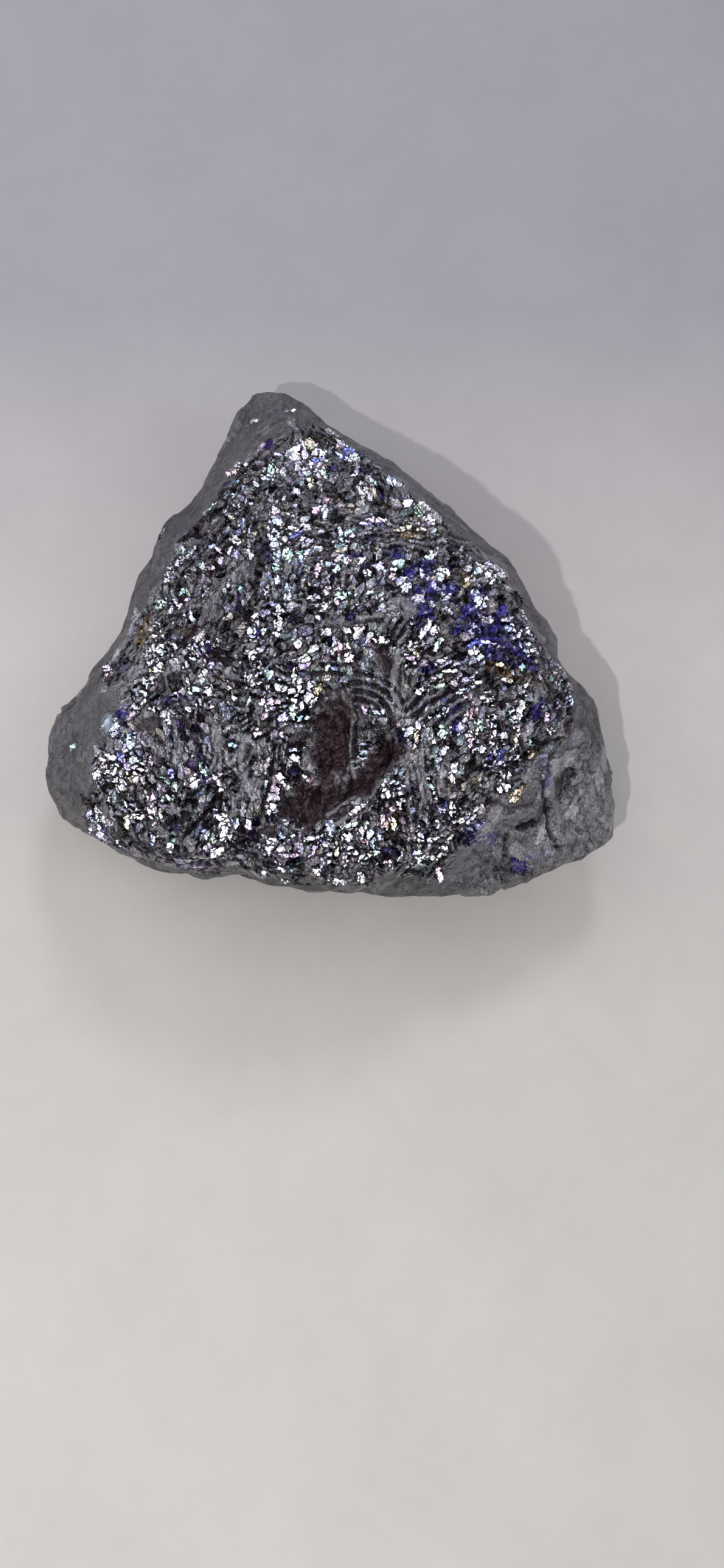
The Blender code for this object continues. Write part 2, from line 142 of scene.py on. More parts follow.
# Cracks across the top: points in plan, half width and depth.
GROOVES = [
    ([(-14.8, -25.0), (-13.2, -23.3), (-11.7, -21.6), (-10.2, -19.9)], 0.20, 0.55),
    ([(22.9, -14.7), (22.7, -16.1), (22.2, -17.8), (22.2, -19.3), (22.5, -20.9), (22.7, -22.2), (23.5, -23.7), (24.4, -24.6)], 0.24, 0.80),
    ([(-12.4, -7.2), (-9.8, -7.1), (-7.6, -7.4)], 0.16, 0.24), ([(-0.8, -5.0), (2.0, -4.9), (5.8, -4.4)], 0.16, 0.24),
    ([(2.4, -10.0), (2.7, -13.6), (2.5, -17.8)], 0.26, 0.40), ([(19.2, -22.5), (20.6, -22.1), (22.0, -21.6)], 0.20, 0.40), ([(17.9, -23.4), (18.0, -24.6), (18.2, -25.9)], 0.14, 0.30), ([(24.8, -17.4), (26.0, -18.6), (26.8, -20.6)], 0.12, 0.25),
    ([(27.0, -15.8), (27.8, -17.4), (28.2, -18.6)], 0.20, 0.30), ([(-16.0, 8.6), (-14.2, 8.8), (-13.0, 8.2)], 0.30, 0.40),
    ([(12.2, 7.3), (13.2, 6.9), (14.2, 6.4)], 0.35, 0.60), ([(0.6, 9.6), (0.9, 8.4), (1.4, 7.2)], 0.26, 0.35),
    ([(-10.0, -24.8), (-8.6, -26.0), (-6.6, -26.4)], 0.26, 0.40), ([(14.2, -24.6), (17.0, -26.4), (19.6, -26.6)], 0.24, 0.30),
    ([(20.6, -14.4), (22.4, -14.3), (24.6, -13.0)], 0.26, 0.35), ([(15.4, -20.4), (18.4, -20.8), (21.4, -20.2)], 0.22, 0.28),
]
PITS = [
    (12.9, -14.2, 0.7, 0.9), (16.4, -3.5, 1.5, 0.9), (7.2, 1.2, 0.6, 0.7), (-18.2, -16.2, 0.4, 0.5), (-9.0, -19.0, 0.4, 0.6), (-7.9, -27.6, 0.5, 0.6),
    (-1.6, 5.6, 0.5, 0.5), (14.9, -3.4, 0.8, 0.6), (-13.8, 8.6, 0.6, 0.6), (-14.2, -14.6, 0.3, 0.5), (13.0, -23.4, 0.5, 0.4), (-26.8, -12.9, 0.32, 0.35), (5.2, -17.2, 0.9, 0.6),
    (23.4, -23.9, 0.55, 0.50), (25.6, -24.2, 0.40, 0.35), (16.8, -23.3, 0.40, 0.35), (14.7, -23.8, 0.35, 0.35), (22.0, -15.9, 0.55, 0.40),
    (-6.1, 26.0, 0.30, 0.28), (-9.9, 23.1, 0.34, 0.30), (-7.6, 20.6, 0.28, 0.25), (-10.6, 20.4, 0.30, 0.20),
]
# Sets of parallel ridges: centre, half lengths, the ridges' direction in degrees, their spacing and height.
RIDGES = [
    (10.6, -12.4, 3.4, 1.9, 39, 0.95, 0.26), (7.2, 5.4, 2.9, 1.5, -3, 0.82, 0.20), (9.2, -19.4, 1.8, 2.8, 104, 0.62, 0.12),
    (12.4, 10.2, 3.6, 0.9, -44, 0.70, 0.10), (17.6, 5.6, 3.2, 0.8, -42, 0.66, 0.09), (-11.0, -15.6, 2.6, 2.4, 78, 0.66, 0.09),
    (7.0, -5.2, 1.1, 1.4, 52, 0.70, 0.26), (-19.4, -3.0, 0.9, 2.4, 70, 0.55, 0.12), (2.6, -22.0, 2.2, 1.0, 28, 0.75, 0.16),
    (22.4, -6.8, 1.5, 2.6, -52, 0.80, 0.14), (-0.2, -8.6, 2.2, 1.4, -4, 0.7, 0.14), (-8.0, -17.6, 1.6, 2.2, 60, 0.7, 0.10),
]
RIBS = (2.6, -14.2, 2.2, 5.6, 0.80, 0.24)  # curved ribs: their centre, inner and outer radius, spacing and height
# Crests, with painted highlight: points in plan, half width, height, and how light they are painted.
CRESTS = [
    ([(2.5, -12.6), (2.3, -15.6), (2.6, -19.2)], 0.26, 0.30, 0.7), ([(6.9, -6.6), (6.5, -9.6), (6.9, -13.6)], 0.45, 0.20, 0.45),
    ([(23.2, -15.7), (23.6, -16.6), (23.4, -17.3)], 0.34, 0.16, 0.9), ([(22.8, -17.5), (22.9, -19.2)], 0.24, 0.20, 1.0), ([(23.0, -19.2), (23.5, -20.4), (24.1, -21.8)], 0.34, 0.22, 1.0), ([(23.4, -22.3), (24.4, -23.2)], 0.18, 0.15, 0.8), ([(-0.4, -22.5), (1.2, -21.4), (2.9, -20.5)], 0.20, 0.20, 1.0),
    ([(18.8, -22.5), (18.7, -24.1)], 0.20, 0.12, 0.9), ([(0.2, -23.6), (1.8, -22.7), (3.3, -21.9)], 0.22, 0.20, 0.9),
    ([(-5.6, -18.5), (-4.4, -19.2), (-3.0, -20.4)], 0.30, 0.20, 0.8), ([(4.4, 4.9), (9.4, 4.6)], 0.16, 0.12, 0.9), ([(10.2, 12.4), (12.2, 10.8), (14.6, 8.6)], 0.20, 0.12, 0.6),
    ([(-8.0, -15.2), (-8.6, -17.4), (-7.6, -19.6)], 0.16, 0.10, 0.6), ([(-11.2, -13.4), (-10.6, -15.8), (-11.6, -18.0)], 0.16, 0.10, 0.5),
    ([(16.0, -22.6), (17.6, -21.6), (19.8, -21.0)], 0.20, 0.10, 0.6), ([(24.6, -20.2), (26.4, -21.8), (27.6, -24.0)], 0.22, 0.12, 0.6),
    ([(25.0, -15.0), (26.2, -17.0), (26.4, -19.4)], 0.22, 0.12, 0.6), ([(9.2, -16.6), (9.6, -19.6), (9.0, -22.4)], 0.16, 0.10, 0.7),
]

# The larger single crystals that face the light: place in plan, half sizes, turn, and tint (white, cool, mint, rose, lavender,
# straw or blue).
CRYSTALS = [
    (-8.5, 23.2, 0.62, 0.44, 20, "w"), (-4.4, 24.9, 0.62, 0.30, 0, "c"), (-10.6, 15.8, 0.45, 0.35, -40, "r"), (-1.2, 17.7, 0.90, 0.75, 0, "w"),
    (-5.7, 17.3, 0.80, 0.22, -5, "l"), (-6.2, 15.2, 0.50, 0.70, 0, "m"), (-6.4, 14.2, 0.95, 0.45, 0, "c"), (-2.4, 15.0, 0.60, 0.70, 0, "w"),
    (-1.9, 13.3, 0.42, 0.95, 8, "s"), (-3.4, 11.8, 0.45, 0.50, 0, "l"), (-10.2, 9.6, 0.55, 0.35, 0, "s"), (-5.4, 9.1, 0.50, 0.95, 0, "w"),
    (-5.5, 6.2, 0.75, 0.95, 0, "c"), (-5.1, 3.4, 0.45, 0.95, 0, "c"), (-3.6, 6.8, 0.90, 0.30, -15, "w"), (-4.9, -4.6, 0.55, 1.20, 0, "w"),
    (-5.2, 7.7, 0.50, 0.70, 0, "c"), (-5.4, 4.8, 0.60, 0.60, 0, "w"), (-5.2, 2.0, 0.42, 0.60, 0, "m"), (-5.0, 0.7, 0.36, 0.65, 0, "w"), (-4.8, -2.6, 0.36, 0.70, 0, "c"),
    (-4.4, 5.6, 0.42, 0.50, 0, "w"), (-3.9, -1.5, 0.42, 0.60, 0, "w"), (-0.4, 8.9, 0.36, 1.10, 0, "c"), (-1.0, 1.2, 0.36, 0.85, -8, "r"), (-9.6, 6.4, 0.50, 0.85, 25, "w"),
    (-11.3, 5.6, 0.55, 0.32, -30, "r"), (-12.1, 3.4, 0.50, 0.45, 0, "r"), (-15.8, 5.7, 0.55, 0.75, -20, "w"), (-16.9, 3.8, 0.65, 0.35, 0, "l"),
    (-17.4, 0.6, 0.75, 0.60, 0, "m"), (-17.8, -2.2, 0.80, 0.42, 10, "w"), (-23.8, -4.5, 0.60, 0.32, -30, "w"), (-23.3, -5.2, 0.40, 0.36, 0, "r"),
    (1.4, 17.1, 1.25, 0.30, -38, "c"), (2.7, 14.3, 0.28, 0.75, -30, "c"), (4.6, 13.5, 0.75, 0.28, -40, "m"), (5.0, 8.1, 1.05, 0.36, 0, "r"),
    (7.6, 7.0, 1.15, 0.34, 8, "s"), (9.4, 6.9, 0.60, 0.28, 0, "s"), (9.2, 9.2, 0.40, 0.95, 24, "m"), (10.4, 8.4, 0.42, 0.75, 24, "w"),
    (1.2, 6.0, 0.30, 0.95, 10, "c"), (2.2, 5.4, 0.70, 0.32, 40, "l"), (1.8, 2.4, 0.60, 0.50, 30, "w"), (3.9, 0.9, 0.50, 0.60, 0, "w"),
    (1.5, -1.6, 0.90, 0.50, 0, "m"), (-0.3, -2.7, 0.42, 0.85, -20, "w"), (6.6, 1.5, 0.50, 0.45, 0, "w"), (6.4, 0.5, 0.42, 0.50, 0, "r"),
    (9.4, 1.0, 0.24, 1.05, 10, "l"), (11.2, 1.4, 0.52, 0.95, 0, "w"), (11.8, -1.4, 0.70, 0.26, 45, "w"), (16.2, 2.2, 0.42, 0.75, -30, "w"),
    (15.2, 2.5, 0.50, 0.55, 0, "m"), (14.8, -0.1, 0.46, 0.50, 0, "c"), (18.4, -3.5, 0.46, 0.62, 0, "c"), (20.2, -3.7, 0.34, 0.70, 30, "w"),
    (20.6, -5.2, 0.85, 0.40, -20, "w"), (16.4, -5.5, 1.30, 0.26, -14, "l"), (-17.2, -7.0, 0.62, 0.65, 0, "w"), (-17.1, -5.0, 0.42, 0.80, 0, "c"),
    (-18.6, -8.9, 0.40, 0.90, 0, "w"), (-17.6, -11.2, 0.75, 0.32, -20, "w"), (-11.6, -7.3, 0.36, 0.62, 0, "l"), (-7.6, -4.6, 0.42, 0.75, 0, "w"),
    (-6.7, -9.2, 0.48, 0.95, 4, "w"), (-4.6, -10.2, 0.75, 0.60, 0, "w"), (-3.5, -10.9, 0.60, 0.75, 0, "w"), (-5.2, -11.6, 0.75, 0.40, 0, "r"),
    (-2.8, -12.8, 0.95, 0.50, 0, "m"), (-13.4, -9.9, 0.60, 0.42, 30, "m"), (-11.8, -10.2, 0.42, 0.55, 20, "w"), (-13.8, -11.7, 0.42, 0.42, 0, "w"),
    (-6.9, -14.6, 0.45, 0.60, 0, "r"), (-9.3, -15.8, 0.60, 0.36, 0, "m"), (-20.1, -15.0, 0.65, 0.55, 20, "c"), (-23.0, -16.2, 0.50, 0.46, 0, "w"),
    (-21.9, -17.0, 0.85, 0.80, 0, "w"), (-19.0, -17.4, 0.70, 0.75, 0, "w"), (-19.4, -16.5, 0.65, 0.40, -30, "m"), (-15.6, -18.1, 0.36, 0.55, 10, "b"),
    (-13.2, -19.0, 0.60, 0.70, 0, "w"), (-10.9, -18.6, 0.65, 0.36, 25, "r"), (-16.1, -20.4, 0.60, 0.36, 10, "m"), (-17.5, -21.6, 0.50, 0.75, 0, "w"),
    (-19.1, -22.1, 0.80, 0.36, -8, "w"), (-16.6, -22.0, 0.22, 0.65, 8, "s"), (-10.3, -22.7, 0.85, 0.42, -15, "w"), (-10.2, -24.2, 0.40, 0.90, -18, "w"),
    (-10.9, -25.9, 0.90, 0.40, 8, "w"), (-5.4, -25.0, 0.65, 0.36, 0, "w"), (-3.2, -26.3, 0.75, 0.26, 25, "r"), (-4.2, -19.1, 1.25, 0.46, -42, "w"),
    (-1.9, -18.8, 0.80, 0.26, -35, "r"), (-5.4, -21.9, 0.85, 0.65, -25, "w"), (-3.7, -23.3, 1.10, 0.34, -22, "w"), (-1.5, -24.6, 1.20, 0.30, 14, "w"),
    (0.5, -8.5, 0.80, 0.32, -15, "c"), (2.1, -7.7, 0.52, 0.46, 0, "w"), (0.7, -11.8, 0.46, 0.30, 0, "s"), (5.3, -6.2, 0.85, 0.36, -10, "w"),
    (3.5, -12.5, 0.30, 0.65, 15, "r"), (5.0, -12.9, 0.85, 0.38, -10, "c"), (3.6, -15.3, 0.32, 0.36, 30, "l"), (3.4, -16.4, 0.65, 0.60, 0, "c"),
    (8.3, -6.6, 0.60, 0.65, 0, "w"), (10.9, -6.4, 0.34, 0.85, -35, "m"), (12.2, -8.9, 0.85, 0.30, 10, "w"), (13.6, -10.6, 0.95, 0.34, 25, "c"),
    (9.2, -11.1, 0.95, 0.40, 15, "w"), (11.0, -13.0, 1.05, 0.50, 20, "c"), (11.2, -14.7, 0.50, 0.75, 20, "m"), (15.6, -11.2, 0.62, 0.56, 0, "w"),
    (16.2, -14.4, 0.28, 1.20, 0, "w"), (16.4, -12.9, 0.50, 0.50, 0, "w"), (18.3, -12.6, 0.42, 0.85, -10, "c"), (19.0, -13.4, 0.52, 0.32, 10, "r"),
    (17.7, -14.3, 0.70, 0.36, 10, "w"), (17.1, -17.0, 0.75, 0.34, -8, "w"), (17.7, -19.2, 0.72, 0.48, 20, "w"), (20.4, -15.6, 0.60, 0.40, 30, "s"),
    (17.1, -7.6, 0.62, 0.27, -10, "s"), (18.0, -9.0, 0.60, 0.40, -10, "s"), (22.6, -13.1, 0.40, 0.40, 0, "w"), (6.3, -18.3, 0.60, 0.70, 0, "c"),
    (6.8, -19.7, 0.75, 0.50, 0, "w"), (5.7, -20.6, 0.52, 0.60, 0, "w"), (7.2, -21.1, 0.50, 0.85, 0, "w"), (10.2, -19.6, 0.24, 0.95, 28, "m"),
    (12.4, -21.5, 0.36, 0.85, 10, "w"), (10.8, -23.0, 0.46, 0.42, 0, "c"), (9.1, -25.9, 0.62, 0.46, 0, "c"), (9.2, -24.4, 0.40, 0.50, 0, "w"),
    (11.2, -27.2, 0.36, 0.62, 20, "r"), (3.0, -22.0, 1.10, 0.28, 30, "w"), (1.0, -21.3, 0.95, 0.26, 35, "l"), (2.2, -23.5, 0.85, 0.30, 10, "m"),
    (6.4, -23.2, 0.34, 0.70, 30, "s"), (1.9, -24.6, 0.60, 0.52, 0, "w"), (0.9, -25.6, 0.34, 0.80, 0, "s"), (2.5, -25.8, 0.65, 0.45, 0, "w"),
    (4.7, -26.0, 0.72, 0.42, 0, "m"), (6.0, -26.8, 0.50, 0.32, 0, "r"), (3.3, -28.0, 0.46, 0.34, 0, "w"), (-1.5, -28.5, 0.60, 0.20, -20, "w"),
    (20.5, -25.5, 0.28, 0.55, 10, "w"), (21.0, -24.6, 0.24, 0.20, 0, "r"), (21.8, -17.5, 0.40, 0.28, -30, "l"), (-26.5, -13.7, 0.22, 0.20, 0, "m"), (-24.6, -22.4, 0.26, 0.62, 0, "c"), (-15.6, -25.2, 0.40, 0.42, 0, "c"),
]
TINTS = {
    "w": (1.0, 1.0, 1.0), "c": (0.74, 0.88, 1.0), "m": (0.66, 1.0, 0.84), "r": (1.0, 0.72, 0.86), "l": (0.76, 0.66, 1.0), "s": (1.0, 0.90, 0.58), "b": (0.26, 0.32, 1.0),
}


# ---------------------------------------------------------------------------------------------------------------- small tools
def smoothstep(low, high, x):
    t = np.clip((x - low) / (high - low), 0.0, 1.0)
    return t * t * (3.0 - 2.0 * t)


def unit(v):
    return v / np.maximum(np.linalg.norm(v, axis=-1, keepdims=True), 1e-12)


lattice_rng = np.random.default_rng(28)
LATTICE = unit(lattice_rng.normal(size=(256, 3)))
SHUFFLE = lattice_rng.permutation(256)


def gradient_noise(p, seed):
    cell = np.floor(p).astype(np.int64)
    f = p - cell
    u = f * f * f * (f * (f * 6.0 - 15.0) + 10.0)
    total = np.zeros(len(p))
    for dx in (0, 1):
        hx = SHUFFLE[(cell[:, 0] + dx + seed * 37) & 255]
        wx = u[:, 0] if dx else 1.0 - u[:, 0]
        for dy in (0, 1):
            hy = SHUFFLE[(hx + cell[:, 1] + dy) & 255]
            wy = wx * (u[:, 1] if dy else 1.0 - u[:, 1])
            for dz in (0, 1):
                g = LATTICE[SHUFFLE[(hy + cell[:, 2] + dz) & 255]]
                d = g[:, 0] * (f[:, 0] - dx) + g[:, 1] * (f[:, 1] - dy) + g[:, 2] * (f[:, 2] - dz)
                total += wy * (u[:, 2] if dz else 1.0 - u[:, 2]) * d
    return total * 1.6


def fractal(points, size, octaves=3, seed=0):
    """Smooth noise of about -1 to 1 at these points, with bumps of this size."""
    total, reach, q = np.zeros(len(points)), 0.0, points / size
    for k in range(octaves):
        total += 0.5**k * gradient_noise(q * 2.03**k, seed + 11 * k)
        reach += 0.5**k
    return total / reach * 1.35


def shifted(points, size, amount, seed):
    return points + amount * np.stack([fractal(points, size, 2, seed + k) for k in (1, 2, 3)], 1)


def turned(points, cx, cy, turn):
    c, s = math.cos(math.radians(turn)), math.sin(math.radians(turn))
    x, y = points[:, 0] - cx, points[:, 1] - cy
    return x * c + y * s, y * c - x * s


def patches(points, table, ragged=0.45):
    """How strongly these points lie in the table's patches, whose borders are ragged."""
    edge = fractal(points, 0.9, 3, 31) * ragged
    found = np.zeros(len(points))
    for cx, cy, a, b, turn, strength in table:
        u, v = turned(points, cx, cy, turn)
        reach = np.sqrt((u / a) ** 2 + (v / b) ** 2)
        found = np.maximum(found, strength * smoothstep(1.2, 0.8, reach + edge))
    return found


def line_distance(points, line):
    """Distance in plan to a polyline, and how far along it the nearest point is, from 0 to 1."""
    xy = points[:, :2]
    best, along = np.full(len(xy), 1e9), np.zeros(len(xy))
    steps = len(line) - 1
    for i in range(steps):
        a, b = np.array(line[i]), np.array(line[i + 1])
        t = np.clip(((xy - a) @ (b - a)) / ((b - a) @ (b - a)), 0.0, 1.0)
        d = np.linalg.norm(xy - a - t[:, None] * (b - a), axis=1)
        nearer = d < best
        best, along = np.where(nearer, d, best), np.where(nearer, (i + t) / steps, along)
    return best, along


def inside_by(points, outline):
    """Distance in plan to a closed outline: positive inside it."""
    closed = list(outline) + [outline[0]]
    distance, _ = line_distance(points, closed)
    x, y = points[:, 0], points[:, 1]
    inside = np.zeros(len(points), bool)
    for (ax, ay), (bx, by) in zip(closed, closed[1:]):
        crosses = (ay > y) != (by > y)
        inside ^= crosses & (x < (bx - ax) * (y - ay) / ((by - ay) or 1e-9) + ax)
    return np.where(inside, distance, -distance)


def tree_over(points):
    tree = kdtree.KDTree(len(points))
    for k, p in enumerate(points.tolist()):
        tree.insert(p, k)
    tree.balance()
    return tree


def spaced(points, radius):
    """Indices of a random choice of the points, as many as fit with each this far from those chosen before it."""
    radius = np.broadcast_to(radius, len(points)).tolist()
    near, places = tree_over(points).find_range, points.tolist()
    gone, chosen = bytearray(len(points)), []
    for i in rng.permutation(len(points)).tolist():
        if not gone[i]:
            chosen.append(i)
            for _, j, _ in near(places[i], radius[i]):
                gone[j] = 1
    return np.array(chosen)


def nearest_of(points, heads):
    """For each point, which of the heads is nearest, and how far it is."""
    find = tree_over(heads).find
    found = [find(p)[1:] for p in points.tolist()]
    return np.array([f[0] for f in found]), np.array([f[1] for f in found])


# ----------------------------------------------------------------------------------------------------------- the CAD's surface
def cad_surface():
    """The CAD node's points in millimetres, welded, its triangles, a smoothed normal for each point, and the areas."""
    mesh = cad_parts["silicon_chunk"].data
    co = np.empty(len(mesh.vertices) * 3, np.float32)
    mesh.vertices.foreach_get("co", co)
    mesh.calc_loop_triangles()
    tri = np.empty(len(mesh.loop_triangles) * 3, np.int32)
    mesh.loop_triangles.foreach_get("vertices", tri)
    co, welded = np.unique(np.round(co.reshape(-1, 3).astype(np.float64) / MM, 4), axis=0, return_inverse=True)
    tri = welded.ravel()[tri].reshape(-1, 3)
    tri = tri[(tri[:, 0] != tri[:, 1]) & (tri[:, 1] != tri[:, 2]) & (tri[:, 2] != tri[:, 0])]
    return co, tri, vertex_normals(co, tri), np.linalg.norm(crossed(co, tri), axis=1) / 2


def crossed(points, tri):
    return np.cross(points[tri[:, 1]] - points[tri[:, 0]], points[tri[:, 2]] - points[tri[:, 0]])


def vertex_normals(points, tri):
    cross = crossed(points, tri)
    total = np.zeros_like(points)
    for k in range(3):
        for axis in range(3):
            total[:, axis] += np.bincount(tri[:, k], cross[:, axis], len(points))
    return unit(total)


def neighbours_mean(values, edges, many):
    """Mean over each point's neighbours of a value for each point."""
    a, b = edges[:, 0], edges[:, 1]
    count = np.bincount(a, minlength=many) + np.bincount(b, minlength=many)
    if values.ndim == 1:
        return (np.bincount(a, values[b], many) + np.bincount(b, values[a], many)) / np.maximum(count, 1)
    return np.stack([neighbours_mean(values[:, k], edges, many) for k in range(values.shape[1])], 1)


def zones(points, normals):
    """What the surface is like at these points: a dict of arrays from 0 to 1."""
    up = smoothstep(-0.05, 0.22, normals[:, 2]) * smoothstep(8.0, 10.0, points[:, 2])
    border = inside_by(points, TOP) + 0.42 * fractal(points, 1.3, 3, 4)
    top = smoothstep(-0.30, 0.30, border) * up
    # Broken faces out of the camera's sight: mostly dull, with grainy patches.
    grainy = smoothstep(0.0, 0.34, fractal(points, 8.0, 2, 11)) * (1 - up) * smoothstep(0.2, 1.5, points[:, 2])
    hollow = patches(points, HOLLOWS, 0.5) * up
    hidden = smoothstep(0.50, 0.66, fractal(points, 7.0, 2, 77)) * (1 - up) * smoothstep(0.4, 1.5, points[:, 2])
    hollow = np.maximum(hollow, 0.9 * hidden)
    x, y = points[:, 0], points[:, 1]
    angular = smoothstep(13.0, 16.5, x) * smoothstep(-11.0, -13.5, y) * (1 - top)
    angular = np.maximum(angular, smoothstep(0.05, 0.3, fractal(points, 9.0, 2, 59)) * (1 - up))
    return {
        "angular": angular,
        "up": up,
        "sparkle": np.maximum(top, 0.8 * grainy) * (1 - hollow),
        "hollow": hollow,
        "bright": patches(points, BRIGHT, 0.5) * top * (1 - hollow),
        "dull": patches(points, DULL, 0.5) * top,
        "blue": np.maximum(patches(points, BLUE, 0.55) * up, 0.8 * smoothstep(0.55, 0.7, fractal(points, 4.0, 3, 91)) * grainy),
        "gold": np.maximum(patches(points, GOLD, 0.5) * up, 0.8 * smoothstep(0.55, 0.7, fractal(points, 4.0, 3, 97)) * grainy),
        "base": smoothstep(0.35, 0.1, points[:, 2]),
    }


def ridge_sets(points):
    """Parallel ridges, curved ribs and crests: their height, how strongly each point lies among them, and how light it
    is painted: a painted highlight on crests and ridge tops, painted shade between ridges and in grooves.
    """
    height, among, light = (np.zeros(len(points)) for _ in range(3))
    wander = 0.22 * fractal(points, 1.6, 2, 63)
    edge = 0.3 * fractal(points, 1.2, 2, 64)
    sets = []
    for cx, cy, a, b, turn, spacing, tall in RIDGES:
        u, v = turned(points, cx, cy, 0)
        here = smoothstep(1.15, 0.75, np.sqrt((u / a) ** 2 + (v / b) ** 2) + edge)
        _, across = turned(points, cx, cy, turn)
        sets.append((here, (across + wander) / spacing, tall))
    cx, cy, inner, outer, spacing, tall = RIBS
    x, y = points[:, 0] - cx, points[:, 1] - cy
    away = np.hypot(x, y) + 0.5 * wander
    angle = np.degrees(np.arctan2(y, x))
    here = smoothstep(inner - 0.3, inner + 0.3, away) * smoothstep(outer + 0.3, outer - 0.3, away) * smoothstep(8, 24, angle) * smoothstep(100, 84, angle)
    sets.append((here, away / spacing, tall))
    for here, phase, tall in sets:
        wave = 1.0 - 1.7 * np.abs(np.sin(math.pi * phase)) ** 1.2
        height += here * tall * wave
        # painted highlight on the ridge tops, painted shade between them
        light += 0.85 * here * wave * min(1.0, tall / 0.26)
        among = np.maximum(among, here * min(0.85, tall / 0.26))
    for line, width, tall, bright in CRESTS:
        d, along = line_distance(points, line)
        d = d + 0.5 * width * fractal(points, 0.9, 2, 40)
        here = smoothstep(0.0, 0.1, along) * smoothstep(1.0, 0.9, along) * np.exp(-((d / width) ** 4))
        height += tall * here
        # painted highlight on the crest
        light += 1.2 * bright * here
        among = np.maximum(among, here)
    for line, width, depth in GROOVES:
        d, along = line_distance(points, line)
        here = smoothstep(0.0, 0.12, along) * smoothstep(1.0, 0.88, along) * np.exp(-(((d + 0.16 * fractal(points, 0.9, 2, 40)) / width) ** 2))
        height -= depth * here
        # painted shade in the groove
        light -= 0.9 * here * min(1.0, depth / 0.5)
        among = np.maximum(among, smoothstep(0.3, 0.7, here))
    return height, among, np.clip(light, -1, 1)


def relief(points, zone):
    """How far the broken surface stands out from the CAD's, before its crystals."""
    out = 0.24 * fractal(points, 3.2, 3, 2) * (0.4 + 0.6 * zone["sparkle"])
    # long soft wrinkles on the smooth faces
    bent = shifted(points, 5.0, 0.9, 50)
    wrinkles = 1.0 - 2.2 * np.abs(fractal(bent * np.array([1.0, 0.62, 0.8]), 2.6, 2, 9))
    out += (0.10 + 0.05 * zone["angular"]) * wrinkles * (1 - zone["sparkle"]) * (1 - zone["hollow"])
    # shell-like ripples in the hollows
    away = np.linalg.norm(points[:, :2] - np.array([-4.0, -17.0]), axis=1) + 0.4 * fractal(points, 4.0, 2, 21)
    out += zone["hollow"] * (0.05 * np.sin(away * 2 * math.pi / 0.95) - 0.30 + 0.10 * fractal(points, 1.4, 2, 23))
    out += ridge_sets(points)[0] * zone["up"]
    for x, y, radius, depth in PITS:
        d = np.hypot(points[:, 0] - x, points[:, 1] - y) + 0.2 * fractal(points, 1.0, 2, 45)
        out -= depth * np.exp(-((np.maximum(d, 0) / radius) ** 2)) * zone["up"]
    return out * (1 - zone["base"])


CENTRE = np.array([0.0, -4.5, 10.5])
ROUND = np.array([30.0, 29.0, 12.5])  # half sizes, which make the lump roughly a ball


def ball(points):
    return unit((points - CENTRE) / ROUND)


def scattered(co, tri, normal, area):
    """Points spread over the surface, close together where it has fine detail, with normals, and the triangles joining them."""
    tree = BVHTree.FromPolygons([Vector(p) for p in co], [tuple(int(i) for i in t) for t in tri])
    mid, mid_normal = co[tri].mean(1), unit(normal[tri].sum(1))
    z = zones(mid, mid_normal)
    gap = np.full(len(tri), SIDE)
    gap[mid_normal[:, 2] > 0.05] = MARGIN
    near_top = np.array([inside_by(co[tri[:, k]], TOP) for k in range(3)]).max(0) > -0.5
    gap[near_top & (mid_normal[:, 2] > 0.0) & (mid[:, 2] > 8.0)] = FINE
    gap[(z["base"] > 0.5) & (mid[:, 2] < 0.2)] = RESTING
    points, normals = np.zeros((0, 3)), np.zeros((0, 3))
    for level in (FINE, MARGIN, SIDE, RESTING):
        here = np.flatnonzero(gap == level)
        many = int(6.0 * 0.8 * area[here].sum() / level**2)
        face = rng.choice(here, many, p=area[here] / area[here].sum())
        a, b = rng.random(many), rng.random(many)
        flip = a + b > 1
        a[flip], b[flip] = 1 - a[flip], 1 - b[flip]
        share = np.stack([1 - a - b, a, b], 1)[:, :, None]
        p, n = (co[tri[face]] * share).sum(1), unit((normal[tri[face]] * share).sum(1))
        if len(points):
            border = points[::1]
            _, away = nearest_of(p, border)
            p, n = p[away > 0.8 * level], n[away > 0.8 * level]
        chosen = spaced(p, level)
        points, normals = np.concatenate([points, p[chosen]]), np.concatenate([normals, n[chosen]])

    # The lump is star-shaped: a point that another part of the surface hides from the middle is left out.
    seen = np.ones(len(points), bool)
    middle = Vector(CENTRE)
    for i, p in enumerate(points):
        ray = Vector(p) - middle
        length = ray.length
        hit = tree.ray_cast(middle, ray / length, length * 1.01)
        seen[i] = hit[0] is None or abs(hit[3] - length) < 0.03
    points, normals = points[seen], normals[seen]

    # Joined as neighbours on the ball, seen from the pole under the resting face.
    s = ball(points)
    flat = s[:, :2] / (1.0 + s[:, 2:3] + 1e-9)
    joined = np.array(delaunay_2d_cdt([Vector(p) for p in flat], [], [], 0, 1e-9)[2])
    bm = bmesh.new()
    verts = [bm.verts.new(p) for p in points]
    for f in joined:
        bm.faces.new([verts[i] for i in f])
    rim = [e for e in bm.edges if e.is_boundary]
    bmesh.ops.holes_fill(bm, edges=rim, sides=0)
    bmesh.ops.triangulate(bm, faces=[f for f in bm.faces if len(f.verts) > 3])
    bmesh.ops.beautify_fill(bm, faces=bm.faces[:], edges=bm.edges[:], method="ANGLE")
    bmesh.ops.recalc_face_normals(bm, faces=bm.faces[:])
    bm.verts.index_update()
    joined = np.array([[v.index for v in f.verts] for f in bm.faces])
    edges = np.array([[v.index for v in e.verts] for e in bm.edges])
    bm.free()
    if (crossed(points, joined) * (points[joined].mean(1) - CENTRE)).sum() < 0:
        joined = joined[:, ::-1]
    return points, normals, joined, edges


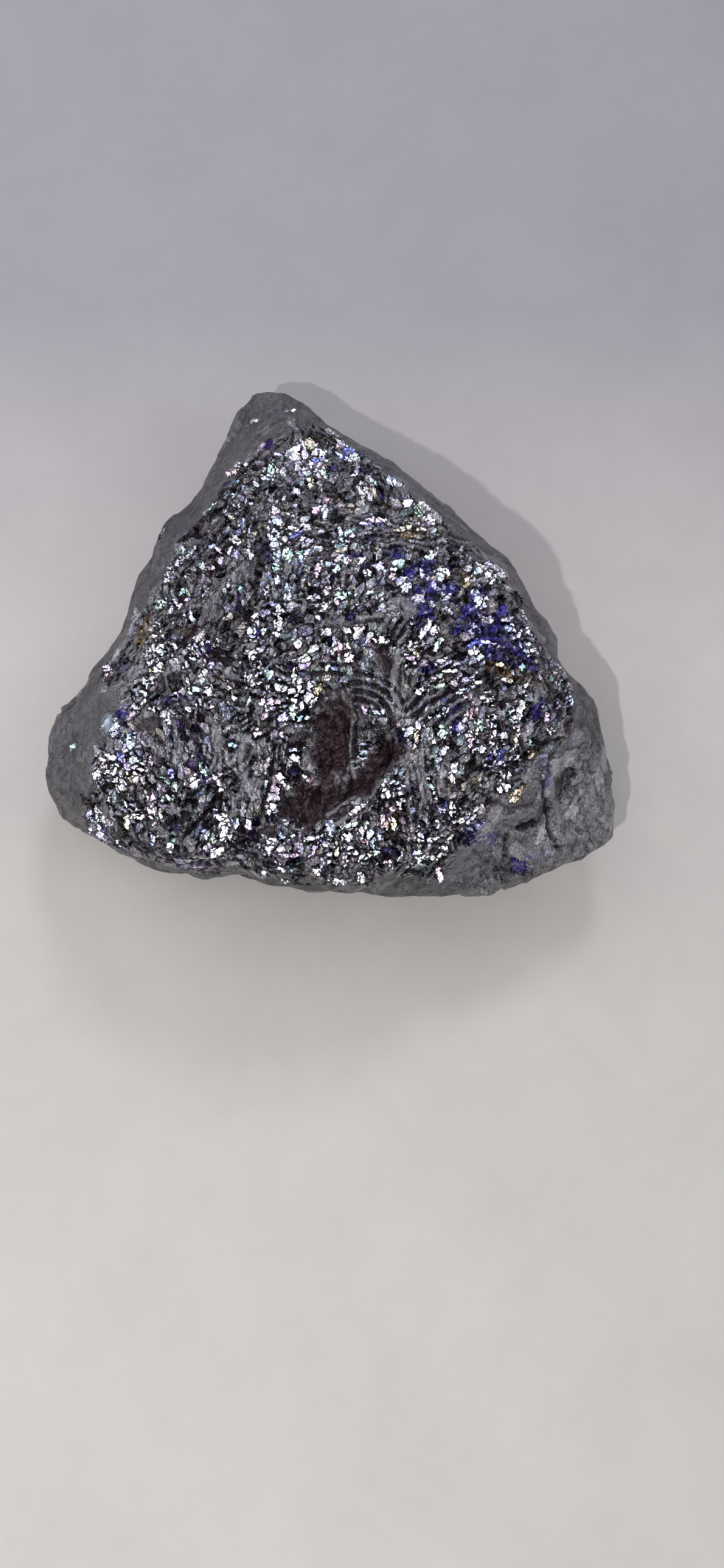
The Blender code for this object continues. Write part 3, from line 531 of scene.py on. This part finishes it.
# ---------------------------------------------------------------------------------------------------------------- the crystals
def lit_from(points, direction, away):
    """The direction that a facet at each of these points faces, to throw a light there into the camera."""
    lamp = MIDDLE + unit(direction) * away
    return unit(unit(EYE - points) + unit(lamp - points))


def sideways(normals, degrees):
    """Random tilts, as vectors across the normals, with this standard deviation in degrees each way."""
    raw = rng.normal(size=normals.shape) * np.tan(np.radians(degrees))[:, None]
    return raw - normals * (raw * normals).sum(1, keepdims=True)


def crystals_of(points, normals, zone):
    """Groups the points into crystals.

    Gives each point's crystal, each crystal's first point, the row of CRYSTALS it stands for (or -1) and its grain,
    each grain's long axis and how much longer its crystals are that way, and the sunken moats around the larger single
    crystals, which the painted cavity shade darkens.
    """
    grain_head = spaced(points, GRAIN)
    grain, _ = nearest_of(shifted(points, 2.0, 1.0, 80), points[grain_head])
    there = points[grain_head]
    # crystals lie up and down the left of the top, and slant up to the right on its right
    plates = (there[:, 0] > 13.5) & (there[:, 1] < -13.0)
    turn = np.radians(np.where(plates, 62.0, np.where(there[:, 0] < -1.0, 88.0, 50.0)) + rng.normal(size=len(there)) * np.where(plates, 12.0, 24.0))
    axes = np.stack([np.cos(turn), np.sin(turn), 0.3 * rng.normal(size=len(there))], 1)
    axes = np.where(normals[grain_head][:, 2:] > 0.5, axes, rng.normal(size=axes.shape))
    axes = unit(axes - normals[grain_head] * (axes * normals[grain_head]).sum(1, keepdims=True))
    squeeze = rng.uniform(0.36, 0.75, len(there)) * np.where(plates, 0.8, 1.0)

    group = grain.astype(int)
    best = np.full(len(points), 1.0)
    edge = 0.42 * fractal(points, 0.55, 2, 33)
    moat = np.zeros(len(points))
    for k, (x, y, a, b, turn, _) in enumerate(CRYSTALS):
        u, v = turned(points, x, y, turn)
        reach = np.sqrt((u / a) ** 2 + (v / b) ** 2) + edge
        reach[(normals[:, 2] < 0.1) | (points[:, 2] < 4.0)] = 9.0
        inside = reach < best
        best[inside] = reach[inside]
        group[inside] = len(grain_head) + k
        rim = (reach - 1.0) * min(a, b)
        moat = np.maximum(moat, smoothstep(0.0, 0.05, rim) * smoothstep(0.32, 0.14, rim))
    moat *= smoothstep(-0.05, 0.25, fractal(points, 1.0, 2, 36)) * (group < len(grain_head)) * zone["sparkle"]

    bent = shifted(shifted(points, 1.1, 0.42, 34), 0.45, 0.16, 38)
    bent += (0.6 * zone["angular"] * (1 - zone["sparkle"]))[:, None] * (points - bent)
    number = len(grain_head) + len(CRYSTALS)
    order = np.argsort(group, kind="stable")
    starts = np.searchsorted(group[order], np.arange(number + 1))
    crystal, heads, row = np.zeros(len(points), int), [], []
    many = 0
    for g in range(number):
        here = order[starts[g] : starts[g + 1]]
        if not len(here):
            continue
        single = g >= len(grain_head)
        q = bent[here]
        if not single:
            q = q - (1 - squeeze[g]) * (q @ axes[g])[:, None] * axes[g]
        sparkle, angular = zone["sparkle"][here], zone["angular"][here]
        dice = rng.random(len(here))
        size = (1.2 + 1.3 * dice) * (1 - 0.36 * angular) * (1 - sparkle) + (0.34 + 0.68 * dice**3 + 0.30 * zone["blue"][here]) * sparkle
        size = size + 0.25 * zone["dull"][here]
        if single:
            size = np.full(len(here), 0.75)
        first = spaced(q, size)
        mine, _ = nearest_of(q, q[first])
        crystal[here] = many + mine.astype(int)
        heads.append(here[first])
        row += [g - len(grain_head) if single else -1] * len(first)
        many += len(first)
    return crystal, np.concatenate(heads), np.array(row), grain.astype(int), axes, squeeze, moat


def laid_out(points, tri):
    """Where each triangle's corners lie on a flat square: the upper half of the ball on its larger field and the lower half on the smaller, both evenly filled."""
    s = ball(points)
    upper = s[tri].mean(1)[:, 2] > 0
    uv = np.zeros((len(tri), 3, 2))
    for mine, way, x0, x1, y0, y1 in ((upper, 1.0, 0.006, 0.994, 0.210, 0.994), (~upper, -1.0, 0.006, 0.994, 0.006, 0.196)):
        polar = np.arccos(np.clip(way * s[:, 2], -1, 1))
        used = np.sort(polar[(way * s[:, 2]) > 0])
        share = np.linspace(0, 1, 41)
        knots = used[(share * (len(used) - 1)).astype(int)]
        knots[0], knots[-1] = 0.0, np.pi / 2
        r = np.where(polar < np.pi / 2, np.interp(polar, knots, share) ** 0.5, 1 + 0.5 * (polar - np.pi / 2))
        x, y = s[:, 0] * way, s[:, 1]
        wide = np.abs(x) >= np.abs(y)
        with np.errstate(divide="ignore", invalid="ignore"):
            slant = np.nan_to_num(np.arctan(np.where(wide, y / x, x / y)) * 4 / np.pi)
        a = np.where(wide, np.sign(x), np.sign(y)) * r
        flat = np.where(wide[:, None], np.stack([a, a * slant], 1), np.stack([a * slant, a], 1)) / 1.025
        at = np.stack([x0 + (x1 - x0) * (flat[:, 0] + 1) / 2, y0 + (y1 - y0) * (flat[:, 1] + 1) / 2], 1)
        uv[mine] = np.clip(at, (x0, y0), (x1, y1))[tri[mine]]
    return uv


def build_body(material):
    co, tri, normal, area = cad_surface()
    seed, seed_normal, joined, edges = scattered(co, tri, normal, area)
    many = len(seed)
    zone = zones(seed, seed_normal)
    flat = zone["base"] > 0.5
    _, among, light = ridge_sets(seed)
    among, light = among * zone["up"], light * zone["up"]
    ground = seed + seed_normal * relief(seed, zone)[:, None]
    steady = vertex_normals(ground, joined)
    for _ in range(8):
        steady = unit(steady + neighbours_mean(steady, edges, many))
    steady[flat] = (0.0, 0.0, -1.0)

    crystal, head, row, grain_at, axes, squeeze, moat = crystals_of(seed, seed_normal, zone)
    count, grain = len(head), grain_at[head]
    n, at = steady[head], ground[head]
    sparkle, bright, dull, angular = (zone[k][head] for k in ("sparkle", "bright", "dull", "angular"))
    blue = zone["blue"][head]
    draw = rng.random(count)
    share_lit = np.clip(0.12 + 0.62 * bright - 0.08 * dull + 0.05 * (blue > 0.4), 0, 1) * sparkle
    share_clean = np.clip(0.45 - 0.22 * dull, 0, 1) * sparkle
    share_dark = (0.17 - 0.09 * dull) * sparkle
    single = row >= 0
    lit = single | ((draw < share_lit) & (sparkle > 0.76))
    clean = ~lit & (draw < share_lit + share_clean) & (sparkle > 0.76)
    dark = ~lit & ~clean & (draw < share_lit + share_clean + share_dark) & (sparkle > 0.76)
    pool = ~lit & (rng.random(count) < 1.05 * blue) & ((sparkle > 0.76) | (angular > 0.5))

    # how they lie: towards a light, as their grain's cleavage, or loosely with the surface
    key = lit_from(at, KEY_FROM, KEY_AWAY)
    window = lit_from(at, WINDOW_FROM, WINDOW_AWAY)
    use_key = (key * n).sum(1) - (window * n).sum(1) > rng.normal(size=count) * 0.15 + 0.06
    aim = np.where(use_key[:, None], key, window)
    aim = unit(aim + sideways(aim, np.where(use_key, 1.0, 1.4) + 0.4 * ~single))
    cleavage = sideways(np.tile((0.0, 0.0, 1.0), (len(axes) * 3, 1)), np.full(len(axes) * 3, 15.0)).reshape(-1, 3, 3)
    chosen = cleavage[grain, rng.integers(0, 3, count)]
    chosen = chosen - n * (chosen * n).sum(1, keepdims=True)
    spread = np.where(clean, 15.0, np.where(dark, 12.0, 2.0 + 7.0 * sparkle + 6.0 * angular))
    loose = sideways(n, spread)
    like = (clean & (rng.random(count) < 0.5))[:, None]
    facing = unit(n + np.where(like, chosen + sideways(n, np.full(count, 4.0)), loose))
    steep = (aim * n).sum(1) < np.where(single, 0.25, 0.50)
    facing = np.where((lit & ~steep)[:, None], aim, facing)
    facing[flat[head]] = (0.0, 0.0, -1.0)

    lift = 0.05 * rng.normal(size=count) * sparkle + 0.02 * rng.normal(size=count) * (sparkle + angular)
    lift += np.where(lit, 0.07, 0.0) - np.where(dark, 0.16, 0.0) * sparkle
    lift[flat[head]] = 0
    place = at + n * lift[:, None]

    # each point moves along its normal into its crystal's plane
    c = crystal
    rise = ((place[c] - ground) * facing[c]).sum(1) / np.maximum((steady * facing[c]).sum(1), 0.45)
    # a plane that leans far from the ground breaks into steps
    step = np.where(single, 0.60, 0.46)[c]
    stair = np.floor(rise / step + 0.5) * (zone["sparkle"] > 0.3)
    rise = np.clip(rise - step * stair, -0.34, 0.34)
    smoothed = np.maximum(0.80 * among, 0.65 * (1 - np.maximum(zone["sparkle"], zone["angular"]))) * (row[c] < 0)
    rise = rise * np.where((lit | clean | dark)[c], 1.0, 0.6 - 0.25 * dull[c]) * (1 - 0.92 * zone["hollow"]) * (1 - smoothed) * ~flat - 0.14 * moat
    points = ground + steady * rise[:, None]
    low, high = np.array(cad_box) / MM
    points = np.clip(points, low + 1e-4, high - 1e-4)

    # cavities, from how far each point lies under its neighbours' mean, near and a little further off; the material
    # turns them into painted shade in hollows and a painted highlight on ridges
    vn = unit(vertex_normals(points, joined) + 0.5 * steady)
    near = ((neighbours_mean(points, edges, many) - points) * vn).sum(1)
    smooth_points = points
    for _ in range(6):
        smooth_points = neighbours_mean(smooth_points, edges, many)
    wide = ((smooth_points - points) * vn).sum(1)
    gap = np.where(zone["up"] > 0.3, FINE, SIDE)
    cavity = np.clip(0.4 * near / (0.35 * gap) + wide / 0.12, -1, 1)
    cavity = 0.75 * cavity + 0.25 * neighbours_mean(cavity, edges, many)
    cavity *= 0.25 + 0.75 * zone["sparkle"]
    cavity[flat] = 0

    # finish of each crystal
    names = list(TINTS)
    tint_table = np.array([TINTS[k] for k in names])
    kinds = rng.choice(len(names), count, p=[0.62, 0.13, 0.06, 0.06, 0.08, 0.03, 0.02])
    for k in np.flatnonzero(single):
        kinds[k] = names.index(CRYSTALS[row[k]][5])
    tint = tint_table[kinds]
    dice = rng.random(count)
    plain_level = 0.236 + 0.145 * dice + 0.20 * dull
    # painted shade: margin faces that turn sideways are up to 30 % darker, a dark line along the outline
    margin_level = (0.160 + 0.09 * dice) * (1 - 0.30 * smoothstep(0.45, 0.05, n[:, 2]))
    angular_level = np.where(dice < 0.22, 0.46 + 0.6 * dice, np.where(dice > 0.84, 0.12, 0.21 + 0.20 * dice))
    dull_level = plain_level * sparkle + (1 - sparkle) * (margin_level * (1 - angular) + angular_level * angular)
    level = np.where(single, 0.70 + 0.25 * dice, np.where(lit, 0.46 + 0.50 * dice, np.where(clean, 0.44 + 0.52 * dice, np.where(dark, 0.018 + 0.05 * dice, dull_level))))
    weak = np.where(lit, 0.9, np.where(clean, 0.5, 0.0))[:, None]
    warm = np.where(dark & (rng.random(count) < 0.6), 1.0, 0.0)[:, None]
    navy = np.where(dark & (rng.random(count) < 0.35), 1.0, 0.0)[:, None]
    colour = level[:, None] * (1 + weak * (tint - 1)) * (1 + warm * (np.array([1.25, 0.8, 0.85]) - 1)) * (1 + navy * (np.array([0.7, 0.6, 3.0]) - 1))
    navies = np.array([(0.018, 0.014, 0.060), (0.040, 0.030, 0.24), (0.085, 0.065, 0.42), (0.014, 0.011, 0.018)])
    colour = np.where(pool[:, None], navies[rng.choice(4, count, p=[0.32, 0.36, 0.18, 0.14])], colour)
    clean &= ~pool
    shine = np.where(lit, 1.0, np.where(clean, 0.8, np.where(dark, 0.4, 0.0)))
    broken = np.where(single, 0.03, np.where(lit, 0.075, np.where(clean, 0.5, 0.42))) * sparkle + np.where(lit, 0.04, 0.07)

    t = joined
    whole = (c[t[:, 0]] == c[t[:, 1]]) & (c[t[:, 1]] == c[t[:, 2]]) & (stair[t[:, 0]] == stair[t[:, 1]]) & (stair[t[:, 1]] == stair[t[:, 2]])
    pick = t[np.arange(len(t)), rng.integers(0, 3, len(t))]
    owner = c[pick]
    edged = (lit | clean | dark)[c[t]].any(1)
    # painted shade on faces that span a step between crystals: much darker beside lit, clean or dark crystals, a little
    # darker elsewhere, and darker on the plates
    rim = np.where(whole, 1.0, 1.0 - np.where(edged, 0.85, 0.20) * zone["sparkle"][pick] - (0.10 + 0.30 * zone["angular"][pick]) * (1 - zone["sparkle"][pick]))
    values = {"facet": colour[owner] * rim[:, None], "shine": shine[owner] * np.where(whole, 1.0, 0.4), "broken": broken[owner]}
    at_points = {"cavity": cavity, "sparkle": zone["sparkle"], "hollow": zone["hollow"], "blue": zone["blue"], "gold": zone["gold"], "light": light, "angular": zone["angular"]}

    # the fine grain of each crystal is drawn out the same way as its grain's crystals
    g = grain_at[pick]
    corner = points[t]
    along = (corner * axes[g][:, None, :]).sum(2, keepdims=True) * axes[g][:, None, :]
    woven = (corner - (1 - squeeze[g])[:, None, None] * along) * (squeeze[g] ** -0.4)[:, None, None] + 11.3 * g[:, None, None]

    mesh = bpy.data.meshes.new("silicon_body")
    mesh.from_pydata((points * MM).tolist(), [], t.tolist())
    smooth = (zone["hollow"][t].mean(1) > 0.4) | ((among[t].mean(1) > 0.5) & (row[owner] < 0)) | ((np.maximum(zone["sparkle"], zone["angular"])[t].mean(1) < 0.5) & (row[owner] < 0))
    mesh.polygons.foreach_set("use_smooth", smooth)
    for name, v in values.items():
        v = np.asarray(v, np.float32)
        if v.ndim == 1:
            mesh.attributes.new(name, "FLOAT", "FACE").data.foreach_set("value", v)
        else:
            mesh.attributes.new(name, "FLOAT_COLOR", "FACE").data.foreach_set("color", np.concatenate([v, np.ones((len(v), 1), np.float32)], 1).ravel())
    for name, v in at_points.items():
        mesh.attributes.new(name, "FLOAT", "POINT").data.foreach_set("value", np.asarray(v, np.float32))
    mesh.attributes.new("woven", "FLOAT_VECTOR", "CORNER").data.foreach_set("vector", woven.astype(np.float32).ravel())
    mesh.uv_layers.new(name="OFBake", do_init=False).uv.foreach_set("vector", laid_out(seed, t).astype(np.float32).ravel())
    mesh.materials.append(material)
    mesh.update()
    body = bpy.data.objects.new("silicon_body", mesh)
    bpy.context.scene.collection.objects.link(body)
    return body


# ------------------------------------------------------------------------------------------------------------------ materials
def tree_of(name):
    material = bpy.data.materials.new(name)
    material.use_nodes = True
    tree = material.node_tree
    return material, tree, tree.nodes["Principled BSDF"]


def node(tree, kind, **settings):
    made = tree.nodes.new(kind)
    for key, value in settings.items():
        setattr(made, key, value)
    return made


def attribute(tree, name, out="Fac"):
    return node(tree, "ShaderNodeAttribute", attribute_name=name, attribute_type="GEOMETRY").outputs[out]


def maths(tree, operation, *values, clamp=False):
    made = node(tree, "ShaderNodeMath", operation=operation, use_clamp=clamp)
    for socket, value in zip(made.inputs, values):
        if isinstance(value, (int, float)):
            socket.default_value = value
        else:
            tree.links.new(value, socket)
    return made.outputs[0]


def mixed(tree, fac, a, b, blend="MIX"):
    made = node(tree, "ShaderNodeMix", data_type="RGBA", blend_type=blend)
    for socket, value in zip([made.inputs[0], made.inputs[6], made.inputs[7]], (fac, a, b)):
        if isinstance(value, (int, float)):
            socket.default_value = value
        elif isinstance(value, tuple):
            socket.default_value = (*value, 1.0)
        else:
            tree.links.new(value, socket)
    return made.outputs[2]


def ramp(tree, fac, stops):
    made = node(tree, "ShaderNodeValToRGB")
    elements = made.color_ramp.elements
    while len(elements) < len(stops):
        elements.new(0.5)
    for element, (at, colour) in zip(elements, stops):
        element.position = at
        element.color = (*colour, 1.0)
    tree.links.new(fac, made.inputs[0])
    return made.outputs[0]


def stretch(tree, value, low, high, new_low=0.0, new_high=1.0):
    made = node(tree, "ShaderNodeMapRange", clamp=True)
    for socket, number in zip(made.inputs[1:5], (low, high, new_low, new_high)):
        socket.default_value = number
    tree.links.new(value, made.inputs[0])
    return made.outputs[0]


def noise_at(tree, vector, scale, detail=3.0, roughness=0.6, distortion=0.0):
    made = node(tree, "ShaderNodeTexNoise")
    for name, value in (("Scale", scale), ("Detail", detail), ("Roughness", roughness), ("Distortion", distortion)):
        made.inputs[name].default_value = value
    tree.links.new(vector, made.inputs["Vector"])
    return made.outputs["Fac"]


def vectors(tree, operation, a, b=None, scale=None):
    made = node(tree, "ShaderNodeVectorMath", operation=operation)
    for socket, value in zip(made.inputs, (a, b)):
        if isinstance(value, tuple):
            socket.default_value = value
        elif value is not None:
            tree.links.new(value, socket)
    if scale is not None:
        made.inputs["Scale"].default_value = scale
    return made.outputs["Value" if operation == "DOT_PRODUCT" else "Vector"]


def silicon():
    material, tree, shader = tree_of("broken_silicon")
    facet = attribute(tree, "facet", "Color")
    woven = attribute(tree, "woven", "Vector")
    shine, broken, cavity, light = (attribute(tree, n) for n in ("shine", "broken", "cavity", "light"))
    sparkle, hollow, blue, gold = (attribute(tree, n) for n in ("sparkle", "hollow", "blue", "gold"))
    angular = attribute(tree, "angular")
    plates = maths(tree, "MULTIPLY", angular, maths(tree, "SUBTRACT", 1.0, sparkle, clamp=True))
    dull = maths(tree, "SUBTRACT", 1.0, shine, clamp=True)

    # the smallest crystals: cells with bent borders, each with its own tilt, shade and tint
    sway = node(tree, "ShaderNodeTexNoise")
    sway.inputs["Scale"].default_value = 1.3
    sway.inputs["Detail"].default_value = 2.5
    tree.links.new(woven, sway.inputs["Vector"])
    bent = vectors(tree, "ADD", woven, vectors(tree, "SCALE", vectors(tree, "SUBTRACT", sway.outputs["Color"], (0.5, 0.5, 0.5)), scale=1.7))
    cell = node(tree, "ShaderNodeTexVoronoi", feature="F1")
    border = node(tree, "ShaderNodeTexVoronoi", feature="DISTANCE_TO_EDGE")
    for made in (cell, border):
        made.inputs["Scale"].default_value = 2.1
        tree.links.new(bent, made.inputs["Vector"])
    tilt = vectors(tree, "DOT_PRODUCT", vectors(tree, "SUBTRACT", bent, cell.outputs["Position"]), vectors(tree, "SUBTRACT", cell.outputs["Color"], (0.5, 0.5, 0.5)))
    dice = node(tree, "ShaderNodeSeparateColor")
    tree.links.new(cell.outputs["Color"], dice.inputs[0])
    one, two, three = dice.outputs

    mottle = noise_at(tree, woven, 0.9, 4.0, 0.65, 0.4)
    steps = ramp(tree, one, [(0.0, (0.42, 0.42, 0.42)), (0.20, (0.78, 0.78, 0.78)), (0.45, (1.0, 1.0, 1.0)), (0.72, (1.6, 1.6, 1.6))])
    steps.node.color_ramp.interpolation = "CONSTANT"
    shade = maths(tree, "ADD", 1.0, maths(tree, "MULTIPLY", maths(tree, "SUBTRACT", steps, 1.0), maths(tree, "MULTIPLY", sparkle, maths(tree, "MULTIPLY_ADD", shine, -0.5, 0.85))))
    shade = maths(tree, "MULTIPLY", shade, stretch(tree, mottle, 0.25, 0.75, 0.78, 1.22))
    grey = node(tree, "ShaderNodeCombineColor")
    for k in range(3):
        tree.links.new(shade, grey.inputs[k])
    colour = mixed(tree, 1.0, facet, grey.outputs[0], "MULTIPLY")
    tints = ramp(tree, two, [(0.0, (0.98, 0.955, 1.06)), (0.40, (0.78, 0.83, 1.04)), (0.56, (0.66, 1.0, 0.84)), (0.66, (1.0, 0.74, 0.88)), (0.75, (0.80, 0.72, 1.0)), (0.88, (1.0, 0.92, 0.66)), (0.95, (0.35, 0.42, 1.0))])
    tints.node.color_ramp.interpolation = "CONSTANT"
    colour = mixed(tree, 1.0, colour, (0.992, 0.972, 1.025), "MULTIPLY")
    colour = mixed(tree, maths(tree, "MULTIPLY", sparkle, maths(tree, "MULTIPLY_ADD", shine, 0.40, 0.34)), colour, tints, "MULTIPLY")

    # the dull matrix: worm-like lines, the lighter ones a painted highlight of grain boundaries catching the light, the
    # darker ones (with the cell borders below) painted shade
    def worms(scale, thin, thick, bend):
        away = maths(tree, "ABSOLUTE", maths(tree, "SUBTRACT", noise_at(tree, woven, scale, 2.0, 0.55, bend), 0.5))
        return stretch(tree, away, thin, thick, 1.0, 0.0)

    worm = maths(tree, "MULTIPLY", worms(1.3, 0.026, 0.060, 1.2), stretch(tree, mottle, 0.38, 0.50))
    colour = mixed(tree, maths(tree, "MULTIPLY", maths(tree, "MULTIPLY", worm, dull), maths(tree, "ADD", maths(tree, "MULTIPLY_ADD", sparkle, 0.45, 0.16), maths(tree, "MULTIPLY", plates, 0.28))), colour, (0.52, 0.51, 0.545))
    # painted shade: near-black lines along the borders of the smallest crystals, strongest on shiny ones, and dark
    # worms, standing for crevices
    outline = maths(tree, "MULTIPLY", stretch(tree, border.outputs["Distance"], 0.03, 0.10, 1.0, 0.0), stretch(tree, maths(tree, "MULTIPLY_ADD", shine, 0.22, three), 0.62, 0.7))
    outline = maths(tree, "MAXIMUM", outline, maths(tree, "MULTIPLY", worms(1.1, 0.012, 0.036, 1.6), 0.9))
    colour = mixed(tree, maths(tree, "MULTIPLY", outline, maths(tree, "ADD", maths(tree, "MULTIPLY_ADD", sparkle, 0.54, 0.30), maths(tree, "MULTIPLY", plates, 0.35))), colour, (0.011, 0.008, 0.011))
    # streaks in the smooth faces
    streak = stretch(tree, noise_at(tree, woven, 0.75, 5.0, 0.6, 2.2), 0.32, 0.68, 0.60, 1.34)
    streaked = node(tree, "ShaderNodeCombineColor")
    for k in range(3):
        tree.links.new(streak, streaked.inputs[k])
    smooth = maths(tree, "MULTIPLY", maths(tree, "SUBTRACT", 1.0, sparkle, clamp=True), maths(tree, "MULTIPLY_ADD", angular, -0.65, 1.0))
    colour = mixed(tree, smooth, colour, mixed(tree, 1.0, colour, streaked.outputs[0], "MULTIPLY"))
    # painted highlight: convex ridges of the dull matrix are lightened; painted shade: cavities are darkened towards
    # near black
    up = stretch(tree, cavity, -0.9, -0.3, 1.0, 0.0)
    colour = mixed(tree, maths(tree, "MULTIPLY", up, maths(tree, "MULTIPLY", dull, 0.30)), colour, (0.36, 0.355, 0.375))
    down = stretch(tree, cavity, 0.10, 0.68)
    colour = mixed(tree, maths(tree, "MULTIPLY", down, 0.80), colour, (0.018, 0.012, 0.015))
    # tarnish
    blues = ramp(tree, one, [(0.0, (0.012, 0.009, 0.045)), (0.26, (0.045, 0.034, 0.25)), (0.56, (0.13, 0.10, 0.55)), (0.76, (0.60, 0.62, 1.0)), (0.90, (0.02, 0.018, 0.022))])
    blues.node.color_ramp.interpolation = "CONSTANT"
    some = maths(tree, "MULTIPLY", stretch(tree, three, 0.50, 0.54, 0.75, 0.10), maths(tree, "MULTIPLY_ADD", shine, -0.6, 1.0))
    colour = mixed(tree, maths(tree, "MULTIPLY", blue, some), colour, blues)
    golds = ramp(tree, one, [(0.0, (0.03, 0.018, 0.012)), (0.35, (0.10, 0.06, 0.03)), (0.62, (0.30, 0.20, 0.09)), (0.84, (0.85, 0.70, 0.42))])
    golds.node.color_ramp.interpolation = "CONSTANT"
    colour = mixed(tree, maths(tree, "MULTIPLY", gold, maths(tree, "MULTIPLY_ADD", shine, -0.55, 0.8)), colour, golds)
    # hollows, dark and reddish
    shell = ramp(tree, mottle, [(0.40, (0.009, 0.003, 0.004)), (0.54, (0.026, 0.010, 0.013)), (0.64, (0.046, 0.022, 0.026)), (0.72, (0.19, 0.145, 0.155))])
    shell = mixed(tree, maths(tree, "MULTIPLY", worm, 0.22), shell, (0.27, 0.235, 0.25))
    colour = mixed(tree, maths(tree, "MULTIPLY", hollow, 0.96), colour, shell)
    # painted highlight on crests and ridge tops, painted shade in grooves and between ridges
    colour = mixed(tree, maths(tree, "MULTIPLY", stretch(tree, light, 0.25, 0.7), 0.75), colour, (0.32, 0.31, 0.33))
    colour = mixed(tree, maths(tree, "MULTIPLY", stretch(tree, light, -0.15, -0.7), 0.85), colour, (0.026, 0.018, 0.030))
    tree.links.new(colour, shader.inputs["Base Color"])

    shader.inputs["Metallic"].default_value = 1.0
    rough = maths(tree, "MULTIPLY_ADD", shine, -0.24, 0.50)
    rough = maths(tree, "ADD", rough, maths(tree, "MULTIPLY", maths(tree, "SUBTRACT", mottle, 0.5), 0.35), clamp=True)
    tree.links.new(rough, shader.inputs["Roughness"])

    bump = node(tree, "ShaderNodeBump")
    bump.inputs["Distance"].default_value = MM
    bump.inputs["Strength"].default_value = 1.0
    fine = maths(tree, "MULTIPLY", noise_at(tree, woven, 3.0, 3.0, 0.6, 0.5), maths(tree, "MULTIPLY", maths(tree, "MULTIPLY_ADD", dull, 0.026, 0.008), maths(tree, "MULTIPLY_ADD", hollow, -0.75, 1.0)))
    height = maths(tree, "ADD", maths(tree, "MULTIPLY", tilt, broken), maths(tree, "ADD", fine, maths(tree, "MULTIPLY", worm, 0.02)))
    tree.links.new(height, bump.inputs["Height"])
    tree.links.new(bump.outputs[0], shader.inputs["Normal"])
    return material


def paper():
    material, tree, shader = tree_of("pale_floor")
    place = node(tree, "ShaderNodeTexCoord").outputs["Object"]
    apart = node(tree, "ShaderNodeSeparateXYZ")
    tree.links.new(place, apart.inputs[0])
    # painted light: the floor's colour is lighter and warmer towards the near side and darker and bluer towards the far
    # side
    along = stretch(tree, apart.outputs["Y"], -0.070, 0.045)
    painted_light_fall = ramp(tree, along, [(0.0, (0.80, 0.775, 0.715)), (0.40, (0.76, 0.735, 0.70)), (0.60, (0.78, 0.73, 0.712)), (0.85, (0.615, 0.582, 0.60)), (1.0, (0.50, 0.485, 0.525))])
    fibre = noise_at(tree, place, 260.0, 5.0, 0.65, 0.3)
    shade = ramp(tree, fibre, [(0.3, (0.965, 0.965, 0.965)), (0.7, (1.0, 1.0, 1.0))])
    cloud = ramp(tree, noise_at(tree, place, 62.0, 3.0, 0.55, 0.3), [(0.35, (0.955, 0.955, 0.958)), (0.65, (1.0, 1.0, 1.0))])
    painted_light_fall = mixed(tree, 1.0, painted_light_fall, cloud, "MULTIPLY")
    # painted shade: the floor is up to 10 % darker towards the right
    painted_side_shade = ramp(tree, stretch(tree, apart.outputs["X"], -0.055, 0.055), [(0.0, (1.0, 1.0, 1.0)), (1.0, (0.90, 0.90, 0.90))])
    painted_light_fall = mixed(tree, 1.0, painted_light_fall, painted_side_shade, "MULTIPLY")
    tree.links.new(mixed(tree, 1.0, painted_light_fall, shade, "MULTIPLY"), shader.inputs["Base Color"])
    shader.inputs["Roughness"].default_value = 0.95
    shader.inputs["Specular IOR Level"].default_value = 0.15
    return material


# ---------------------------------------------------------------------------------------------------------------------- build
body = build_body(silicon())
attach(body, "root")
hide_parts("silicon_chunk")

bpy.ops.mesh.primitive_plane_add(size=4.0, location=(0, 0, 0))
floor = bpy.context.object
floor.name = "floor"
floor.data.materials.append(paper())


# ------------------------------------------------------------------------------------------------------------ lights and camera
def area_light(name, direction, away, size, power, colour=(1, 1, 1)):
    data = bpy.data.lights.new(name, "AREA")
    data.shape = "DISK"
    data.size = size * MM
    data.energy = power
    data.color = colour
    light = bpy.data.objects.new(name, data)
    bpy.context.scene.collection.objects.link(light)
    place = MIDDLE + unit(np.array(direction, float)) * away
    light.location = Vector(place * MM)
    light.rotation_euler = Vector(MIDDLE - place).to_track_quat("-Z", "Y").to_euler()
    return light


area_light("key", KEY_FROM, KEY_AWAY, 8, 0.31, (1.0, 0.98, 0.95))
area_light("window", WINDOW_FROM, WINDOW_AWAY, 170, 0.84, (0.93, 0.965, 1.04))
area_light("left_fill", (-0.80, 0.30, 0.52), 700, 360, 0.62, (0.95, 0.97, 1.0))
area_light("right_fill", (0.74, -0.26, 0.62), 700, 340, 0.56, (1.0, 0.98, 0.96))
area_light("back_fill", (0.62, 0.66, 0.42), 700, 300, 0.30, (0.92, 0.94, 1.0))
area_light("high_fill", (-0.42, 0.50, 0.76), 700, 300, 0.24, (1.0, 0.97, 1.0))

world = bpy.data.worlds.new("room")
world.use_nodes = True
world.node_tree.nodes["Background"].inputs["Color"].default_value = (0.94, 0.95, 1.02, 1.0)
world.node_tree.nodes["Background"].inputs["Strength"].default_value = 0.35
bpy.context.scene.world = world

camera_data = bpy.data.cameras.new("camera")
camera_data.lens = 35.0
camera_data.sensor_fit = "AUTO"
camera_data.sensor_width = 36.0
camera_data.clip_start = 0.005
camera_data.clip_end = 10.0
camera = bpy.data.objects.new("camera", camera_data)
camera.location = Vector(EYE * MM)
camera.rotation_euler = (math.radians(90.0 - PITCH), 0.0, 0.0)
bpy.context.scene.collection.objects.link(camera)
bpy.context.scene.camera = camera

view = bpy.context.scene.view_settings
view.view_transform = "Standard"
view.look = "None"
